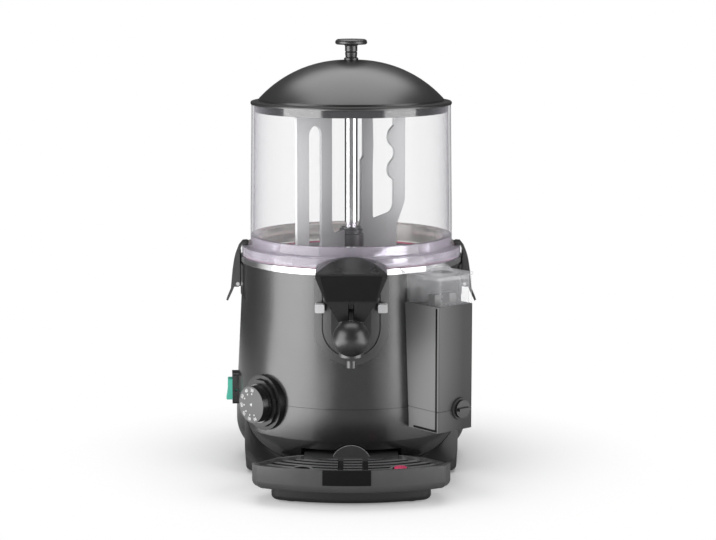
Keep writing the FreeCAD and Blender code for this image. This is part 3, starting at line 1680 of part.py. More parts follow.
def make_tap_lever():
    lever = across(
        "lever_arm",
        [
            [
                ("-pivot_y - 21", "pivot_z + tine_half"),
                ("-pivot_y - 25", "pivot_z + tine_half"),
                ("-pivot_y - 25.4", "pivot_z - 6.5"),
                ("-pivot_y - 31", "pivot_z - 9.8"),
                ("-ball_y + 4", "pivot_z - 14.2"),
                ("-ball_y", "pivot_z - 15.6", "via"),
                ("-ball_y - stem_radius", "pivot_z - 19"),
                ("-ball_y - stem_radius", "pivot_z - 21"),
                ("-ball_y + stem_radius", "pivot_z - 21"),
                ("-ball_y + 9.5", "pivot_z - 16.6"),
                ("-pivot_y - 25", "pivot_z - 12.2"),
                ("-pivot_y - 21", "pivot_z - 9"),
            ]
        ],
        "lever_half",
    )
    tine = box_outline(
        "-pivot_y - 25", "-pivot_y", "pivot_z - tine_half", "pivot_z + tine_half"
    )
    tines = [
        padded(f"lever_tine_{i}", "YZ", [tine], start, "tine_outer - tine_inner")
        for i, start in enumerate(["-tine_outer", "tine_inner"])
    ]
    bridge = padded(
        "lever_bridge",
        "YZ",
        [
            box_outline(
                "-pivot_y - 25", "-pivot_y - 21", "pivot_z - tine_half", "pivot_z + tine_half"
            )
        ],
        "-tine_outer",
        "2 * tine_outer",
    )
    sleeve = padded(
        "lever_sleeve",
        "YZ",
        [("circle", "-pivot_y", "pivot_z", "3.6")],
        "-ear_inner + 0.4",
        "2 * ear_inner - 0.8",
    )
    stem = cylinder(
        "lever_stem", "0", "-ball_y", "stem_low_z", "stem_radius", "stem_top_z - stem_low_z"
    )
    bore = padded(
        "lever_bore",
        "YZ",
        [("circle", "-pivot_y", "pivot_z", "pin_radius + 0.05")],
        "-ear_outer",
        "2 * ear_outer",
    )
    solid = joined("lever_solid", lever, bridge, sleeve, stem, *tines)
    return cut("tap_lever", solid, bore)


def make_tap_ball():
    ball = doc.addObject("Part::Sphere", "ball_sphere")
    ball.setExpression("Radius", bound("ball_radius"))
    ball.setExpression("Placement.Base.y", bound("-ball_y"))
    ball.setExpression("Placement.Base.z", bound("ball_z"))
    socket = cylinder(
        "ball_socket", "0", "-ball_y", "stem_low_z - 0.1", "stem_radius + 0.01", "20"
    )
    arm_side = box_outline("-ball_y - 4", "-ball_y + 10", "stem_low_z + 7.9", "stem_low_z + 19")
    arm_room = across("arm_room", [arm_side], "lever_half + 0.1")
    return cut("tap_ball", ball, socket, arm_room)


def make_tap_piston():
    piston = new_body("tap_piston")
    steps = [
        ("plug_radius", "valve_floor_z + 0.2", "plug_top_z"),
        ("piston_radius", "plug_top_z", "piston_top_z"),
        ("piston_rod", "piston_top_z", "collar_low_z"),
        ("collar_radius", "collar_low_z", "collar_top_z"),
        ("piston_rod", "collar_top_z", "spigot_top_z"),
    ]
    for radius, low, high in steps:
        pad(piston, "XY", [("circle", "0", "-valve_y", radius)], low, f"{high} - ({low})")
    return piston


def make_tap_spring():
    """Return spring between the piston collar and the roof of the tap cover."""
    radius = number("spring_radius")
    helix = Part.makeHelix(number("spring_pitch"), number("spring_tall"), radius)
    start = V(radius, 0, 0)
    wire_section = Part.Wire(Part.makeCircle(number("spring_wire"), start, V(0, 1, 0.1)))
    coil = Part.Wire(helix.Edges).makePipeShell([wire_section], True, True)
    spring = doc.addObject("Part::Feature", "tap_spring")
    spring.Shape = coil
    spring.Placement = FreeCAD.Placement(
        V(0, -number("valve_y"), number("spring_low_z") + number("spring_wire")),
        FreeCAD.Rotation(),
    )
    return spring


def make_lever_pin():
    return padded(
        "lever_pin",
        "YZ",
        [("circle", "-pivot_y", "pivot_z", "pin_radius")],
        "-pin_half",
        "2 * pin_half",
    )


keep(
    make_tap_body(),
    make_tap_cover(),
    make_tap_plate(),
    make_tap_clips(),
    make_lever_pin(),
    make_tap_lever(),
    make_tap_ball(),
    make_tap_piston(),
    make_tap_spring(),
)


# --- Dial and switch ---------------------------------------------------------------------


def make_dial_collar():
    """The round black collar that the dial turns in, with its bush for the spindle."""
    block = new_body("collar_block")
    ring_face = ("circle", "0", "dial_z", "collar_ring_radius")
    pad(block, "XZ", [ring_face], "casing_inside", "collar_ring_y - casing_inside")
    facets = [
        (f"facet_radius * cos({15 + 30 * i})", f"dial_z + facet_radius * sin({15 + 30 * i})")
        for i in range(12)
    ]
    pad(block, "XZ", [facets], "collar_ring_y", "facet_y - collar_ring_y")
    bush = ("circle", "0", "dial_z", "spindle_bore")
    pocket(block, "XZ", [bush], "casing_inside", "facet_y + 2 - casing_inside")
    return cut("dial_collar", block, casing_contact)


def make_dial():
    """The dial: a skirt, and a narrower face with the numbers."""
    dial = new_body("thermostat_dial")
    pad(dial, "XZ", [("circle", "0", "dial_z", "dial_radius")], "dial_back_y", "3")
    pad(
        dial,
        "XZ",
        [("circle", "0", "dial_z", "dial_face_radius")],
        "dial_back_y + 3",
        "dial_front_y - dial_back_y - 3",
    )
    pocket(dial, "XZ", [("circle", "0", "dial_z", "spindle_radius")], "dial_back_y - 1", "8")
    return dial


def make_spindle():
    spindle = [("circle", "0", "dial_z", "spindle_radius")]
    return padded("dial_spindle", "XZ", spindle, "spindle_end_y", "dial_back_y + 7 - spindle_end_y")


def make_thermostat():
    """The thermostat behind the collar, which the spindle turns."""
    body = new_body("thermostat")
    square = rounded_outline(
        "-thermostat_half",
        "thermostat_half",
        "dial_z - thermostat_half",
        "dial_z + thermostat_half",
        "4",
    )
    depth = "thermostat_front_y - thermostat_back_y"
    pad(body, "XZ", [square], "thermostat_back_y", depth)
    pocket(body, "XZ", [("circle", "0", "dial_z", "spindle_bore")], "spindle_end_y - 1", "10")
    return body


def switch_outline(half_width, low, high):
    return box_outline(f"-({half_width})", half_width, low, high)


def make_bezel():
    """The switch housing: its frame stands on the casing, its body goes through it."""
    frame = new_body("bezel_frame")
    flange = rounded_outline(
        "-bezel_half_width",
        "bezel_half_width",
        "switch_z - bezel_half_height",
        "switch_z + bezel_half_height",
        "2",
    )
    pad(frame, "XZ", [flange], "casing_inside", "bezel_front_y - casing_inside")
    flange_piece = cut("bezel_flange", frame, casing_contact)
    core = new_body("bezel_core")
    through = switch_outline(
        "bezel_half_width - 2", "switch_z - bezel_half_height + 3", "switch_z + bezel_half_height - 3"
    )
    pad(core, "XZ", [through], "100", "bezel_front_y - 100")
    room = new_body("rocker_room")
    room_outline = switch_outline(
        "rocker_half_width + 0.6",
        "rocker_z - rocker_half_height - 1.2",
        "rocker_z + rocker_half_height + 1.2",
    )
    pad(room, "XZ", [room_outline], "112", "40")
    bore = padded(
        "rocker_bore",
        "YZ",
        [("circle", "-rocker_axis_y", "rocker_z", "1.56")],
        "-bezel_half_width - 1",
        "2 * bezel_half_width + 2",
    )
    housing = joined("bezel_housing", flange_piece, core)
    return cut("switch_bezel", housing, room, bore)


def make_rocker():
    """The green rocker, with its lower end standing proud, and its two trunnions."""
    profile = [
        ("-rocker_axis_y + 3", "rocker_z - rocker_half_height"),
        ("-rocker_axis_y + 3", "rocker_z + rocker_half_height"),
        ("-rocker_front_y + 2.6", "rocker_z + rocker_half_height"),
        ("-rocker_front_y + 1.8", "rocker_z + rocker_half_height - 0.8"),
        ("-rocker_front_y + 1.6", "rocker_z + 2"),
        ("-rocker_front_y + 1.9", "rocker_z", "via"),
        ("-rocker_front_y + 1.3", "rocker_z - 2"),
        ("-rocker_front_y", "rocker_z - rocker_half_height + 0.9"),
        ("-rocker_front_y + 0.9", "rocker_z - rocker_half_height"),
    ]
    body = across("rocker_block", [profile], "rocker_half_width")
    trunnion = across(
        "rocker_trunnion", [("circle", "-rocker_axis_y", "rocker_z", "1.5")], "rocker_half_width + 2"
    )
    return joined("switch_rocker", body, trunnion)


keep(
    turn(make_dial_collar(), "dial_azimuth"),
    turn(make_dial(), "dial_azimuth"),
    turn(make_spindle(), "dial_azimuth"),
    turn(make_thermostat(), "dial_azimuth"),
    turn(make_bezel(), "switch_azimuth"),
    turn(make_rocker(), "switch_azimuth"),
)


# --- Water filler ------------------------------------------------------------------------


def filler_outline(inset):
    """Plan of the filler box. Its inner end runs into the casing and is cut to it."""
    return rounded_outline(
        f"-filler_half_width + ({inset})",
        f"filler_half_width - ({inset})",
        f"-filler_front_y + ({inset})",
        "-90",
        "3",
    )


def make_filler_base():
    block = new_body("filler_base_block")
    pad(block, "XY", [filler_outline("0")], "filler_low_z", "filler_split_z - filler_low_z")
    drain_boss = ("circle", "drain_x", "drain_z", "drain_ring")
    pad(block, "XZ", [drain_boss], "filler_front_y - 2.4", "drain_ring_proud + 2.4")
    hollow = padded(
        "filler_base_hollow",
        "XY",
        [filler_outline("2.5")],
        "filler_low_z + 2.5",
        "filler_split_z - filler_low_z",
    )
    room = cut("filler_base_room", hollow, casing_seat)
    bore = padded(
        "drain_bore",
        "XZ",
        [("circle", "drain_x", "drain_z", "drain_spigot + 0.08")],
        "filler_front_y - 10",
        "20",
    )
    return cut("filler_box_base", block, room, bore, casing_contact)


def make_filler_upper():
    block = new_body("filler_upper_block")
    pad(block, "XY", [filler_outline("0.8")], "filler_split_z", "1")
    pad(
        block,
        "XY",
        [filler_outline("0")],
        "filler_split_z + 0.9",
        "window_low_z - filler_split_z - 0.9",
    )
    hollow = padded(
        "filler_upper_hollow",
        "XY",
        [filler_outline("2.5")],
        "filler_split_z - 1",
        "window_low_z - filler_split_z + 2",
    )
    room = cut("filler_upper_room", hollow, casing_seat)
    pipe_hole = padded(
        "filler_pipe_hole", "XZ", [("circle", "0", "link_z", "link_radius + 0.1")], "115", "25"
    )
    boss_notch = padded(
        "drain_boss_notch",
        "XZ",
        [("circle", "drain_x", "drain_z", "drain_ring + 0.2")],
        "filler_front_y - 2.6",
        "6",
    )
    return cut("filler_box_upper", block, room, pipe_hole, boss_notch, casing_contact)


def make_filler_window():
    """The clear top of the filler. Its rear is a curved wall that follows the casing."""
    block = padded(
        "window_block",
        "XY",
        [filler_outline("0.4")],
        "window_low_z",
        "window_top_z - window_low_z",
    )
    hollow = padded(
        "window_hollow",
        "XY",
        [filler_outline("0.4 + window_wall")],
        "window_low_z - 1",
        "window_top_z - window_low_z + 2",
    )
    inner = casing_column("window_inner", "band_radius + 1.4 + window_wall", "0", "300")
    outer = casing_column("window_outer", "band_radius + 1.4", "0", "300")
    room = cut("window_room", hollow, inner)
    return cut("filler_window", block, room, outer)


def make_filler_lid():
    block = new_body("filler_lid_block")
    pad(
        block,
        "XY",
        [filler_outline("-0.4")],
        "window_top_z",
        "filler_lid_top_z - window_top_z",
    )
    plug = padded(
        "filler_lid_plug",
        "XY",
        [filler_outline("window_wall + 0.8")],
        "window_top_z - 4",
        "4",
    )
    plug_cut = casing_column("plug_cut", "band_radius + 1.8 + window_wall", "0", "300")
    ball = doc.addObject("Part::Sphere", "lid_bump")
    rise = "(bump_radius * bump_radius + bump_height * bump_height) / (2 * bump_height)"
    ball.setExpression("Radius", bound(rise))
    ball.setExpression("Placement.Base.y", bound("-bump_y"))
    ball.setExpression("Placement.Base.z", bound(f"filler_lid_top_z + bump_height - {rise}"))
    below = cylinder("bump_below", "0", "-bump_y", "filler_lid_top_z - 20", "20", "18.5")
    bump = cut("lid_bump_cap", ball, below)
    plate = cut("filler_lid_plate", block, casing_column("lid_cut", "band_radius + 1.4", "0", "300"))
    rim = cut("filler_lid_rim", plug, plug_cut)
    return joined("filler_lid", plate, bump, rim)


def make_filler_inlet():
    """The strainer tray inside the filler, with two square posts."""
    block = new_body("inlet_block")
    pad(block, "XY", [filler_outline("2.55")], "inlet_low_z", "3")
    for low, high in [("-16", "-7"), ("5", "14")]:
        pad(
            block,
            "XY",
            [box_outline(low, high, "-156", "-146")],
            "inlet_low_z + 3",
            "inlet_top_z - inlet_low_z - 3",
        )
    holes = [("circle", f"{-15 + 10 * i}", "-136", "2") for i in range(4)]
    holes += [("circle", f"{-15 + 10 * i}", "-163", "2") for i in range(4)]
    pocket(block, "XY", holes, "inlet_low_z - 1", "5")
    return cut("filler_inlet", block, casing_seat)


def make_drain_knob():
    knob = new_body("drain_knob")
    pad(
        knob,
        "XZ",
        [("circle", "drain_x", "drain_z", "drain_spigot")],
        "filler_front_y - 5",
        "drain_ring_proud + 5.3",
    )
    pad(
        knob,
        "XZ",
        [("circle", "drain_x", "drain_z", "drain_knob")],
        "filler_front_y + drain_ring_proud + 0.3",
        "3",
    )
    grip = box_outline(
        "drain_x - drain_knob * 0.8", "drain_x + drain_knob * 0.8", "drain_z - 1.6", "drain_z + 1.6"
    )
    pad(knob, "XZ", [grip], "filler_front_y + drain_ring_proud + 3.3", "3")
    return knob


def make_water_link():
    """The short pipe from the filler through the casing into the tank."""
    rings = [("circle", "0", "link_z", "link_radius"), ("circle", "0", "link_z", "link_bore")]
    return padded("water_link", "XZ", rings, "104", "27")


keep(
    *[
        turn(piece, "filler_azimuth")
        for piece in [
            make_filler_base(),
            make_filler_upper(),
            make_filler_window(),
            make_filler_lid(),
            make_filler_inlet(),
            make_drain_knob(),
            make_water_link(),
        ]
    ]
)


# --- Latches -----------------------------------------------------------------------------


def make_latch(label):
    """An over-centre latch at the right: its nose holds the bowl's flange down."""
    band = [
        ("113.9", "238.1"),
        ("113.9", "240"),
        ("116.5", "241.2"),
        ("121", "240.8"),
        ("125.2", "235.6"),
        ("127.8", "228.6", "via"),
        ("129.6", "221"),
        ("131.2", "210.6"),
        ("132.7", "195"),
        ("133.3", "189.4"),
        ("138.4", "177.2"),
        ("136.5", "175.8"),
        ("131.4", "186.6"),
        ("129.7", "190.6"),
        ("129.3", "latch_pin_z"),
        ("127.9", "206"),
        ("126.3", "221"),
        ("124", "229.5"),
        ("121.5", "235.4"),
        ("120.5", "238.1"),
    ]
    strap = padded(f"{label}_strap", "XZ", [band], "-latch_half", "2 * latch_half")
    side = [
        ("cheek_gap_x", "latch_pin_z - 1"),
        ("latch_pin_x - 1", "latch_pin_z - cheek_nose"),
        ("131", "latch_pin_z - cheek_nose"),
        ("129.5", "latch_pin_z"),
        ("128", "206"),
        ("126.4", "221"),
        ("124.6", "228"),
        ("cheek_gap_x", "231"),
    ]
    cheeks = [
        padded(f"{label}_cheek_{i}", "XZ", [side], start, "latch_half - cheek_inner")
        for i, start in enumerate(["-latch_half", "cheek_inner"])
    ]
    bore = padded(
        f"{label}_bore",
        "XZ",
        [("circle", "latch_pin_x", "latch_pin_z", "latch_bore")],
        "-latch_half - 1",
        "2 * latch_half + 2",
    )
    solid = joined(f"{label}_solid", strap, *cheeks)
    return cut(label, solid, bore)


def make_bracket(label):
    """The strap on the casing with the ear that carries the latch pin."""
    reach = ("90 - bracket_reach", "90 + bracket_reach")
    strap = padded(
        f"{label}_strap",
        "XY",
        [sector_outline("0", "casing_inside", "bracket_outer_radius", *reach)],
        "bracket_low_z",
        "bracket_top_z - bracket_low_z",
    )
    ear = padded(
        f"{label}_ear",
        "XZ",
        [
            [
                ("casing_inside", "latch_pin_z - latch_nose"),
                ("latch_pin_x", "latch_pin_z - latch_nose"),
                ("latch_pin_x + latch_nose", "latch_pin_z", "via"),
                ("latch_pin_x", "latch_pin_z + latch_nose"),
                ("casing_inside", "latch_pin_z + latch_nose"),
            ]
        ],
        "-bracket_half",
        "2 * bracket_half",
    )
    bore = padded(
        f"{label}_bore",
        "XZ",
        [("circle", "latch_pin_x", "latch_pin_z", "latch_pin_radius")],
        "-bracket_half - 1",
        "2 * bracket_half + 2",
    )
    return cut(label, joined(f"{label}_solid", strap, ear), bore, casing_contact)


def make_latch_pins():
    pins = [
        padded(
            f"latch_pin_{i}",
            "XZ",
            [("circle", x, "latch_pin_z", "latch_pin_radius")],
            "-latch_half - 0.5",
            "2 * latch_half + 1",
        )
        for i, x in enumerate(["-latch_pin_x", "latch_pin_x"])
    ]
    return group("latch_pins", *pins)


keep(
    make_latch("latch_right"),
    turn(make_latch("latch_left"), "180"),
    group(
        "latch_brackets", make_bracket("bracket_right"), turn(make_bracket("bracket_left"), "180")
    ),
    make_latch_pins(),
)


# --- Drip tray ---------------------------------------------------------------------------

BOW_CENTRE = "-tray_front_y + front_bow_radius"
GRILLE_BARS = [("-60", "-54"), ("-14", "-8"), ("11.5", "17.5"), ("54", "60")]


def tray_outline(inset):
    """Plan of the tray: bowed at the front, with facets, and slanting rear edges.

    The factors follow from the directions of the edges that meet at each corner.
    """
    half = [
        (f"tray_waist_x - ({inset}) * 0.22", f"-tray_waist_y - ({inset})"),
        (f"tray_bend_x - ({inset}) * 0.62", f"-tray_bend_y - ({inset}) * 0.82"),
        (f"tray_half_width - ({inset})", f"-tray_shoulder_y - ({inset}) * 0.38"),
        (f"tray_half_width - ({inset})", f"-tray_side_y + ({inset}) * 0.2"),
        (f"tray_corner_x - ({inset}) * 0.8", f"-tray_corner_y + ({inset})"),
    ]
    mirrored = [(f"-({x})", y) for x, y in reversed(half)]
    return half + [("0", f"-tray_front_y + ({inset})", "via")] + mirrored


def make_drip_tray():
    tray = new_body("drip_tray")
    pad(tray, "XY", [tray_outline("0")], "tray_low_z", "tray_top_z - tray_low_z")
    round_edges(tray, at_height("tray_low_z"), "tray_edge")
    fall = [
        ("-rim_fall_y", "tray_top_z"),
        ("-rim_low_y", "rear_rim_z"),
        ("-100", "rear_rim_z"),
        ("-100", "tray_top_z + 5"),
        ("-rim_fall_y", "tray_top_z + 5"),
    ]
    pocket(tray, "YZ", [fall], "-tray_half_width - 5", "2 * tray_half_width + 10")
    tongue = box_outline(
        "-tongue_half_width", "tongue_half_width", "-tray_waist_y - 8", "-tongue_end_y"
    )
    pad(tray, "XY", [tongue], "tongue_low_z", "rear_wall_z - tongue_low_z")
    pocket(tray, "XY", [tray_outline("tray_wall")], "shelf_z", "20")
    pocket(tray, "XY", [tray_outline("tray_wall + 4")], "well_z", "20")
    rear_gap = box_outline("-tongue_half_width", "tongue_half_width", "-tray_waist_y - 8", "-100")
    pocket(tray, "XY", [rear_gap], "rear_wall_z", "20")
    half_disc = [
        ("-arch_radius", "arch_centre_z"),
        ("0", "arch_centre_z + arch_radius", "via"),
        ("arch_radius", "arch_centre_z"),
    ]
    pad(tray, "XZ", [half_disc], "arch_back_y", "arch_front_y - arch_back_y")
    return tray


def make_tray_plate():
    """The bare plate on the tray's front, bowed as the front is."""
    face = "front_bow_radius + 0.05"
    left = "-asin(plate_left_x / front_bow_radius)"
    right = "asin(plate_right_x / front_bow_radius)"
    return padded(
        "tray_plate",
        "XY",
        [sector_outline(BOW_CENTRE, face, f"{face} + 0.8", left, right)],
        "plate_bottom_z",
        "tray_top_z + 0.2 - plate_bottom_z",
    )


def make_grille():
    """Curved ribs on cross bars, in a thin frame that rests on the tray's shelf."""
    tall = "grille_top_z - shelf_z"
    low = "grille_plate_z - shelf_z"
    region = padded("grille_region", "XY", [tray_outline("tray_wall + 0.5")], "shelf_z", low)
    middle = padded(
        "grille_middle", "XY", [tray_outline("tray_wall + 6")], "shelf_z - 1", f"{tall} + 2"
    )
    frame = cut("grille_frame", region, middle)
    ribs = []
    for i in range(int(number("rib_count"))):
        outer = f"rib_first - {i} * rib_pitch"
        rib = sector_outline(BOW_CENTRE, f"{outer} - rib_width", outer, "-40", "40")
        ribs.append(padded(f"grille_rib_{i}", "XY", [rib], "shelf_z", tall))
    bars = []
    grooves = []
    for i, (left, right) in enumerate(GRILLE_BARS):
        strip = box_outline(left, right, "-245", "-100")
        bars.append(padded(f"grille_bar_{i}", "XY", [strip], "shelf_z", low))
        if i in (1, 2):
            grooves.append(padded(f"grille_gap_{i}", "XY", [strip], "grille_plate_z", "10"))
    seat = cylinder("float_seat", "float_x", "-float_y", "shelf_z", "float_hole + 3", tall)
    rest = cylinder("hole_seat", "-float_x", "-float_y", "shelf_z", "float_hole + 3", tall)
    solid = joined("grille_solid", *ribs, *bars, seat, rest)
    limit = padded("grille_limit", "XY", [tray_outline("tray_wall + 0.5")], "shelf_z", tall)
    whole = joined("grille_whole", common("grille_inside", solid, limit), frame)
    holes = [
        cylinder("float_room", "float_x", "-float_y", "shelf_z - 1", "float_hole", "20"),
        cylinder("spare_room", "-float_x", "-float_y", "shelf_z - 1", "float_hole", "20"),
    ]
    return cut("drip_grille", whole, *grooves, *holes)


def make_float():
    body = new_body("tray_float")
    pad(body, "XY", [("circle", "float_x", "-float_y", "float_radius - 2.5")], "well_z + 0.2", "6")
    pad(
        body,
        "XY",
        [("circle", "float_x", "-float_y", "float_radius")],
        "well_z + 6.2",
        "float_top_z - well_z - 6.2",
    )
    round_edges(body, at_height("float_top_z"), "2")
    return body


keep(make_drip_tray(), make_tray_plate(), make_grille(), make_float())


# --- Electrical pieces -------------------------------------------------------------------


def make_terminal_block():
    block = new_body("terminal_block")
    outline = box_outline(
        "terminal_x - terminal_half",
        "terminal_x + terminal_half",
        "terminal_y - terminal_deep / 2",
        "terminal_y + terminal_deep / 2",
    )
    floor = "base_top_z + wall"
    pad(block, "XY", [outline], floor, "terminal_tall")
    ways = [
        ("circle", f"terminal_x + {i - 1.5} * terminal_pitch", "terminal_y", "terminal_way")
        for i in range(4)
    ]
    pocket(block, "XY", ways, f"{floor} + terminal_tall / 2", "terminal_tall")
    return block


def make_safety_cutout():
    """The overheat switch, clamped under the tank floor."""
    cutout = new_body("safety_cutout")
    can = ("circle", "cutout_x", "-cutout_y", "cutout_radius")
    pad(cutout, "XY", [can], "tank_low_z - 9", "9")
    for left in ("cutout_x - tag_gap - tag_width", "cutout_x + tag_gap"):
        tag = box_outline(left, f"{left} + tag_width", "-cutout_y - 1", "-cutout_y + 1")
        pad(cutout, "XY", [tag], "tank_low_z - 16", "8")
    return cutout


keep(make_terminal_block(), make_safety_cutout())


# --- Check and write -----------------------------------------------------------------------


def check_and_export():
    doc.recompute()
    broken = [
        thing.Label for thing in doc.Objects if {"Invalid", "Error"}.intersection(thing.State)
    ]
    for node in nodes:
        if node.Shape.isNull() or not node.Shape.isValid():
            broken.append(node.Label)
    if broken:
        raise RuntimeError("broken: " + ", ".join(broken))
    os.makedirs("parts", exist_ok=True)
    for node in nodes:
        node.Shape.exportStep(f"parts/{node.Label}.step")
        box = node.Shape.BoundBox
        print(
            f"{node.Label:22s} {len(node.Shape.Solids)} solid(s) {node.Shape.Volume:10.0f} mm3 "
            f"x {box.XMin:7.1f} {box.XMax:7.1f}  y {box.YMin:7.1f} {box.YMax:7.1f} "
            f"z {box.ZMin:6.1f} {box.ZMax:6.1f}"
        )
    print(f"{len(nodes)} nodes")


check_and_export()
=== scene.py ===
# %% [markdown]
# # A hot chocolate dispenser
# The machine stands on a counter. Its rear half is a round black casing with a heated water tank inside, a
# clear bowl sits on the tank, and a slow mixer keeps the drink moving. A ball lever at the front opens the
# tap over a drip tray. The engineering model already gives every rigid piece its true size and place, so
# this lesson is about finish: what each surface is made of, and the fine shapes that only the eye needs.
# All lengths are in metres, the front of the machine faces -Y, and it stands on Z = 0.

# %% Load the engineering model
import math

import bpy
from mathutils import Matrix, Vector


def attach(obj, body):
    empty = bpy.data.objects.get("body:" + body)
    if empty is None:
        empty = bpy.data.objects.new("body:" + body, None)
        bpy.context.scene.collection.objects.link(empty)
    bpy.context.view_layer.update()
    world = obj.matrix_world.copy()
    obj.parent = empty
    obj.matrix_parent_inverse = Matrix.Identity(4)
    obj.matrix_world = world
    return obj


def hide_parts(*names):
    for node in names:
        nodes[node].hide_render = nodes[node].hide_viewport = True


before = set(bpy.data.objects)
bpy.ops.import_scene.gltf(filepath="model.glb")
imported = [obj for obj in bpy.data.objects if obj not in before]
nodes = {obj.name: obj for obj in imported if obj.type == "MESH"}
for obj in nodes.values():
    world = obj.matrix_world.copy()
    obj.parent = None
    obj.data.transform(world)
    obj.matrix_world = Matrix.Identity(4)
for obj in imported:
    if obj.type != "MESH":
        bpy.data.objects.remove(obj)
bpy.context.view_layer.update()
bpy.ops.object.select_all(action="DESELECT")
scene = bpy.context.scene


# %% [markdown]
# ## The camera
# A long lens far from the machine keeps its sides almost parallel, as a catalogue picture does. It looks
# slightly down, so the drip tray and the rim of the bowl show as narrow ellipses. The small shift puts the
# machine a little left of the middle without turning the view.

# %% Place the camera
VESSEL_Y = 0.045                       # the bowl, the casing and the mixer share this upright axis
CAMERA_DISTANCE = 2.341                # from that axis
CAMERA_HEIGHT = 0.559
LOOK_DOWN = 8.52                       # degrees
SENSOR_WIDTH = 36                      # millimetres
FOCAL_LENGTH = 107.1                   # millimetres
SHIFT = 0.0095                         # a part of the picture's width
VIEW_DEPTH = 60

lens = bpy.data.cameras.new("catalogue_lens")
lens.lens = FOCAL_LENGTH
lens.sensor_width = SENSOR_WIDTH
lens.shift_x = SHIFT
lens.clip_end = VIEW_DEPTH
camera = bpy.data.objects.new("catalogue_camera", lens)
camera.location = (0, VESSEL_Y - CAMERA_DISTANCE, CAMERA_HEIGHT)
camera.rotation_euler = (math.radians(90 - LOOK_DOWN), 0, 0)
scene.collection.objects.link(camera)
scene.camera = camera
print("camera", CAMERA_DISTANCE, "m from the axis,", LOOK_DOWN, "degrees down")


# %% [markdown]
# ## Sockets that behave like numbers
# A procedural finish is arithmetic on patterns. Wiring a Math node for every plus sign hides that
# arithmetic, so one small class wraps an output socket and lets Python operators add the nodes.

# %% Wrap a socket
class Wire:
    """One output socket. Arithmetic on it adds Math nodes."""

    def __init__(self, tree, socket):
        self.tree = tree
        self.socket = socket

    def math(self, operation, first, second):
        node = self.tree.nodes.new("ShaderNodeMath")
        node.operation = operation
        for slot, value in zip(node.inputs, (first, second)):
            plug(self.tree, slot, value)
        return Wire(self.tree, node.outputs[0])

    def __add__(self, other):
        return self.math("ADD", self, other)

    def __sub__(self, other):
        return self.math("SUBTRACT", self, other)

    def __rsub__(self, other):
        return self.math("SUBTRACT", other, self)

    def __mul__(self, other):
        return self.math("MULTIPLY", self, other)

    def __truediv__(self, other):
        return self.math("DIVIDE", self, other)

    def __pow__(self, other):
        return self.math("POWER", self, other)

    __radd__ = __add__
    __rmul__ = __mul__


def plug(tree, slot, value):
    """Joins a wire to an input, or sets the input to a plain value."""
    if isinstance(value, Wire):
        tree.links.new(value.socket, slot)
    else:
        slot.default_value = value


print("arithmetic on sockets is ready")


# %% [markdown]
# ## A tree of nodes
# A second class holds a whole node tree. Its `node` method adds any node, with the settings first, because
# a setting can change which inputs the node has. The other methods name the few patterns that this machine
# needs: a place, a distance, a soft step, a noise, a ramp and a blend of two colours.

# %% Wrap a node tree
MIX_FACTOR, MIX_FIRST, MIX_SECOND, MIX_RESULT = 0, 6, 7, 2      # the colour sockets of a Mix node


def grey(tone):
    return (tone, tone, tone)


def opaque(value):
    """A colour as its socket wants it, with an alpha of 1. A number or a wire stays as it is."""
    return (*value, 1) if isinstance(value, tuple) else value


class Tree:
    """A node tree. node() adds one node and returns its named output, as a wire."""

    def __init__(self, tree):
        self.tree = tree

    def node(self, kind, settings, sockets, output=0):
        node = self.tree.nodes.new(kind)
        for name, value in settings.items():
            if name == "stops":
                self.place_stops(node.color_ramp, value)
            else:
                setattr(node, name, value)
        for name, value in sockets.items():
            plug(self.tree, node.inputs[name], value)
        return Wire(self.tree, node.outputs[output])

    @staticmethod
    def place_stops(ramp, stops):
        while len(ramp.elements) < len(stops):
            ramp.elements.new(1)
        for element, (place, tone) in zip(ramp.elements, stops):
            element.position = place
            element.color = opaque(grey(tone))

    def ray(self, kind):
        """1 for one kind of ray, such as Is Camera Ray, and 0 for the others."""
        return self.node("ShaderNodeLightPath", {}, {}, kind)

    def place(self):
        return self.node("ShaderNodeTexCoord", {}, {}, "Object")

    def from_foot(self, scale):
        """A point's place, measured from the foot of the vessel's axis."""
        sockets = {"Vector": self.place(), "Location": (0, -VESSEL_Y, 0), "Scale": scale}
        return self.node("ShaderNodeMapping", {}, sockets)

    def length(self, vector):
        return self.node("ShaderNodeVectorMath", {"operation": "LENGTH"}, {0: vector}, "Value")

    def along(self, direction):
        """How far a point lies along a direction from the foot of the vessel's axis."""
        sockets = {0: self.from_foot((1, 1, 1)), 1: direction}
        return self.node("ShaderNodeVectorMath", {"operation": "DOT_PRODUCT"}, sockets, "Value")

    def from_axis(self):
        """How far a point lies from the vessel's upright axis."""
        return self.length(self.from_foot((1, 1, 0)))

    def past(self, distance, start, soften):
        """Rises from 0 to 1 over a short stretch after a start."""
        sockets = {"Value": distance, "From Min": start, "From Max": start + soften}
        return self.node("ShaderNodeMapRange", {"clamp": True}, sockets)

    def stretched(self, scale):
        return self.node("ShaderNodeMapping", {}, {"Vector": self.place(), "Scale": scale})

    def noise(self, scale, detail=2.0, where=None):
        sockets = {"Vector": where or self.place(), "Scale": scale, "Detail": detail}
        return self.node("ShaderNodeTexNoise", {}, sockets, "Fac")

    def ramp(self, value, *stops):
        return self.node("ShaderNodeValToRGB", {"stops": stops}, {"Fac": value}, "Color")

    def between(self, factor, low, high):
        """Goes from one colour to another as the factor rises."""
        sockets = {MIX_FACTOR: factor, MIX_FIRST: opaque(low), MIX_SECOND: opaque(high)}
        return self.node("ShaderNodeMix", {"data_type": "RGBA"}, sockets, MIX_RESULT)


print("node trees are ready")


# %% [markdown]
# ## A finish
# A finish is a tree with a Principled shader, which models nearly any real surface. What is the same all
# over the surface is given as a plain value when the finish is made, and what changes is plugged in later.

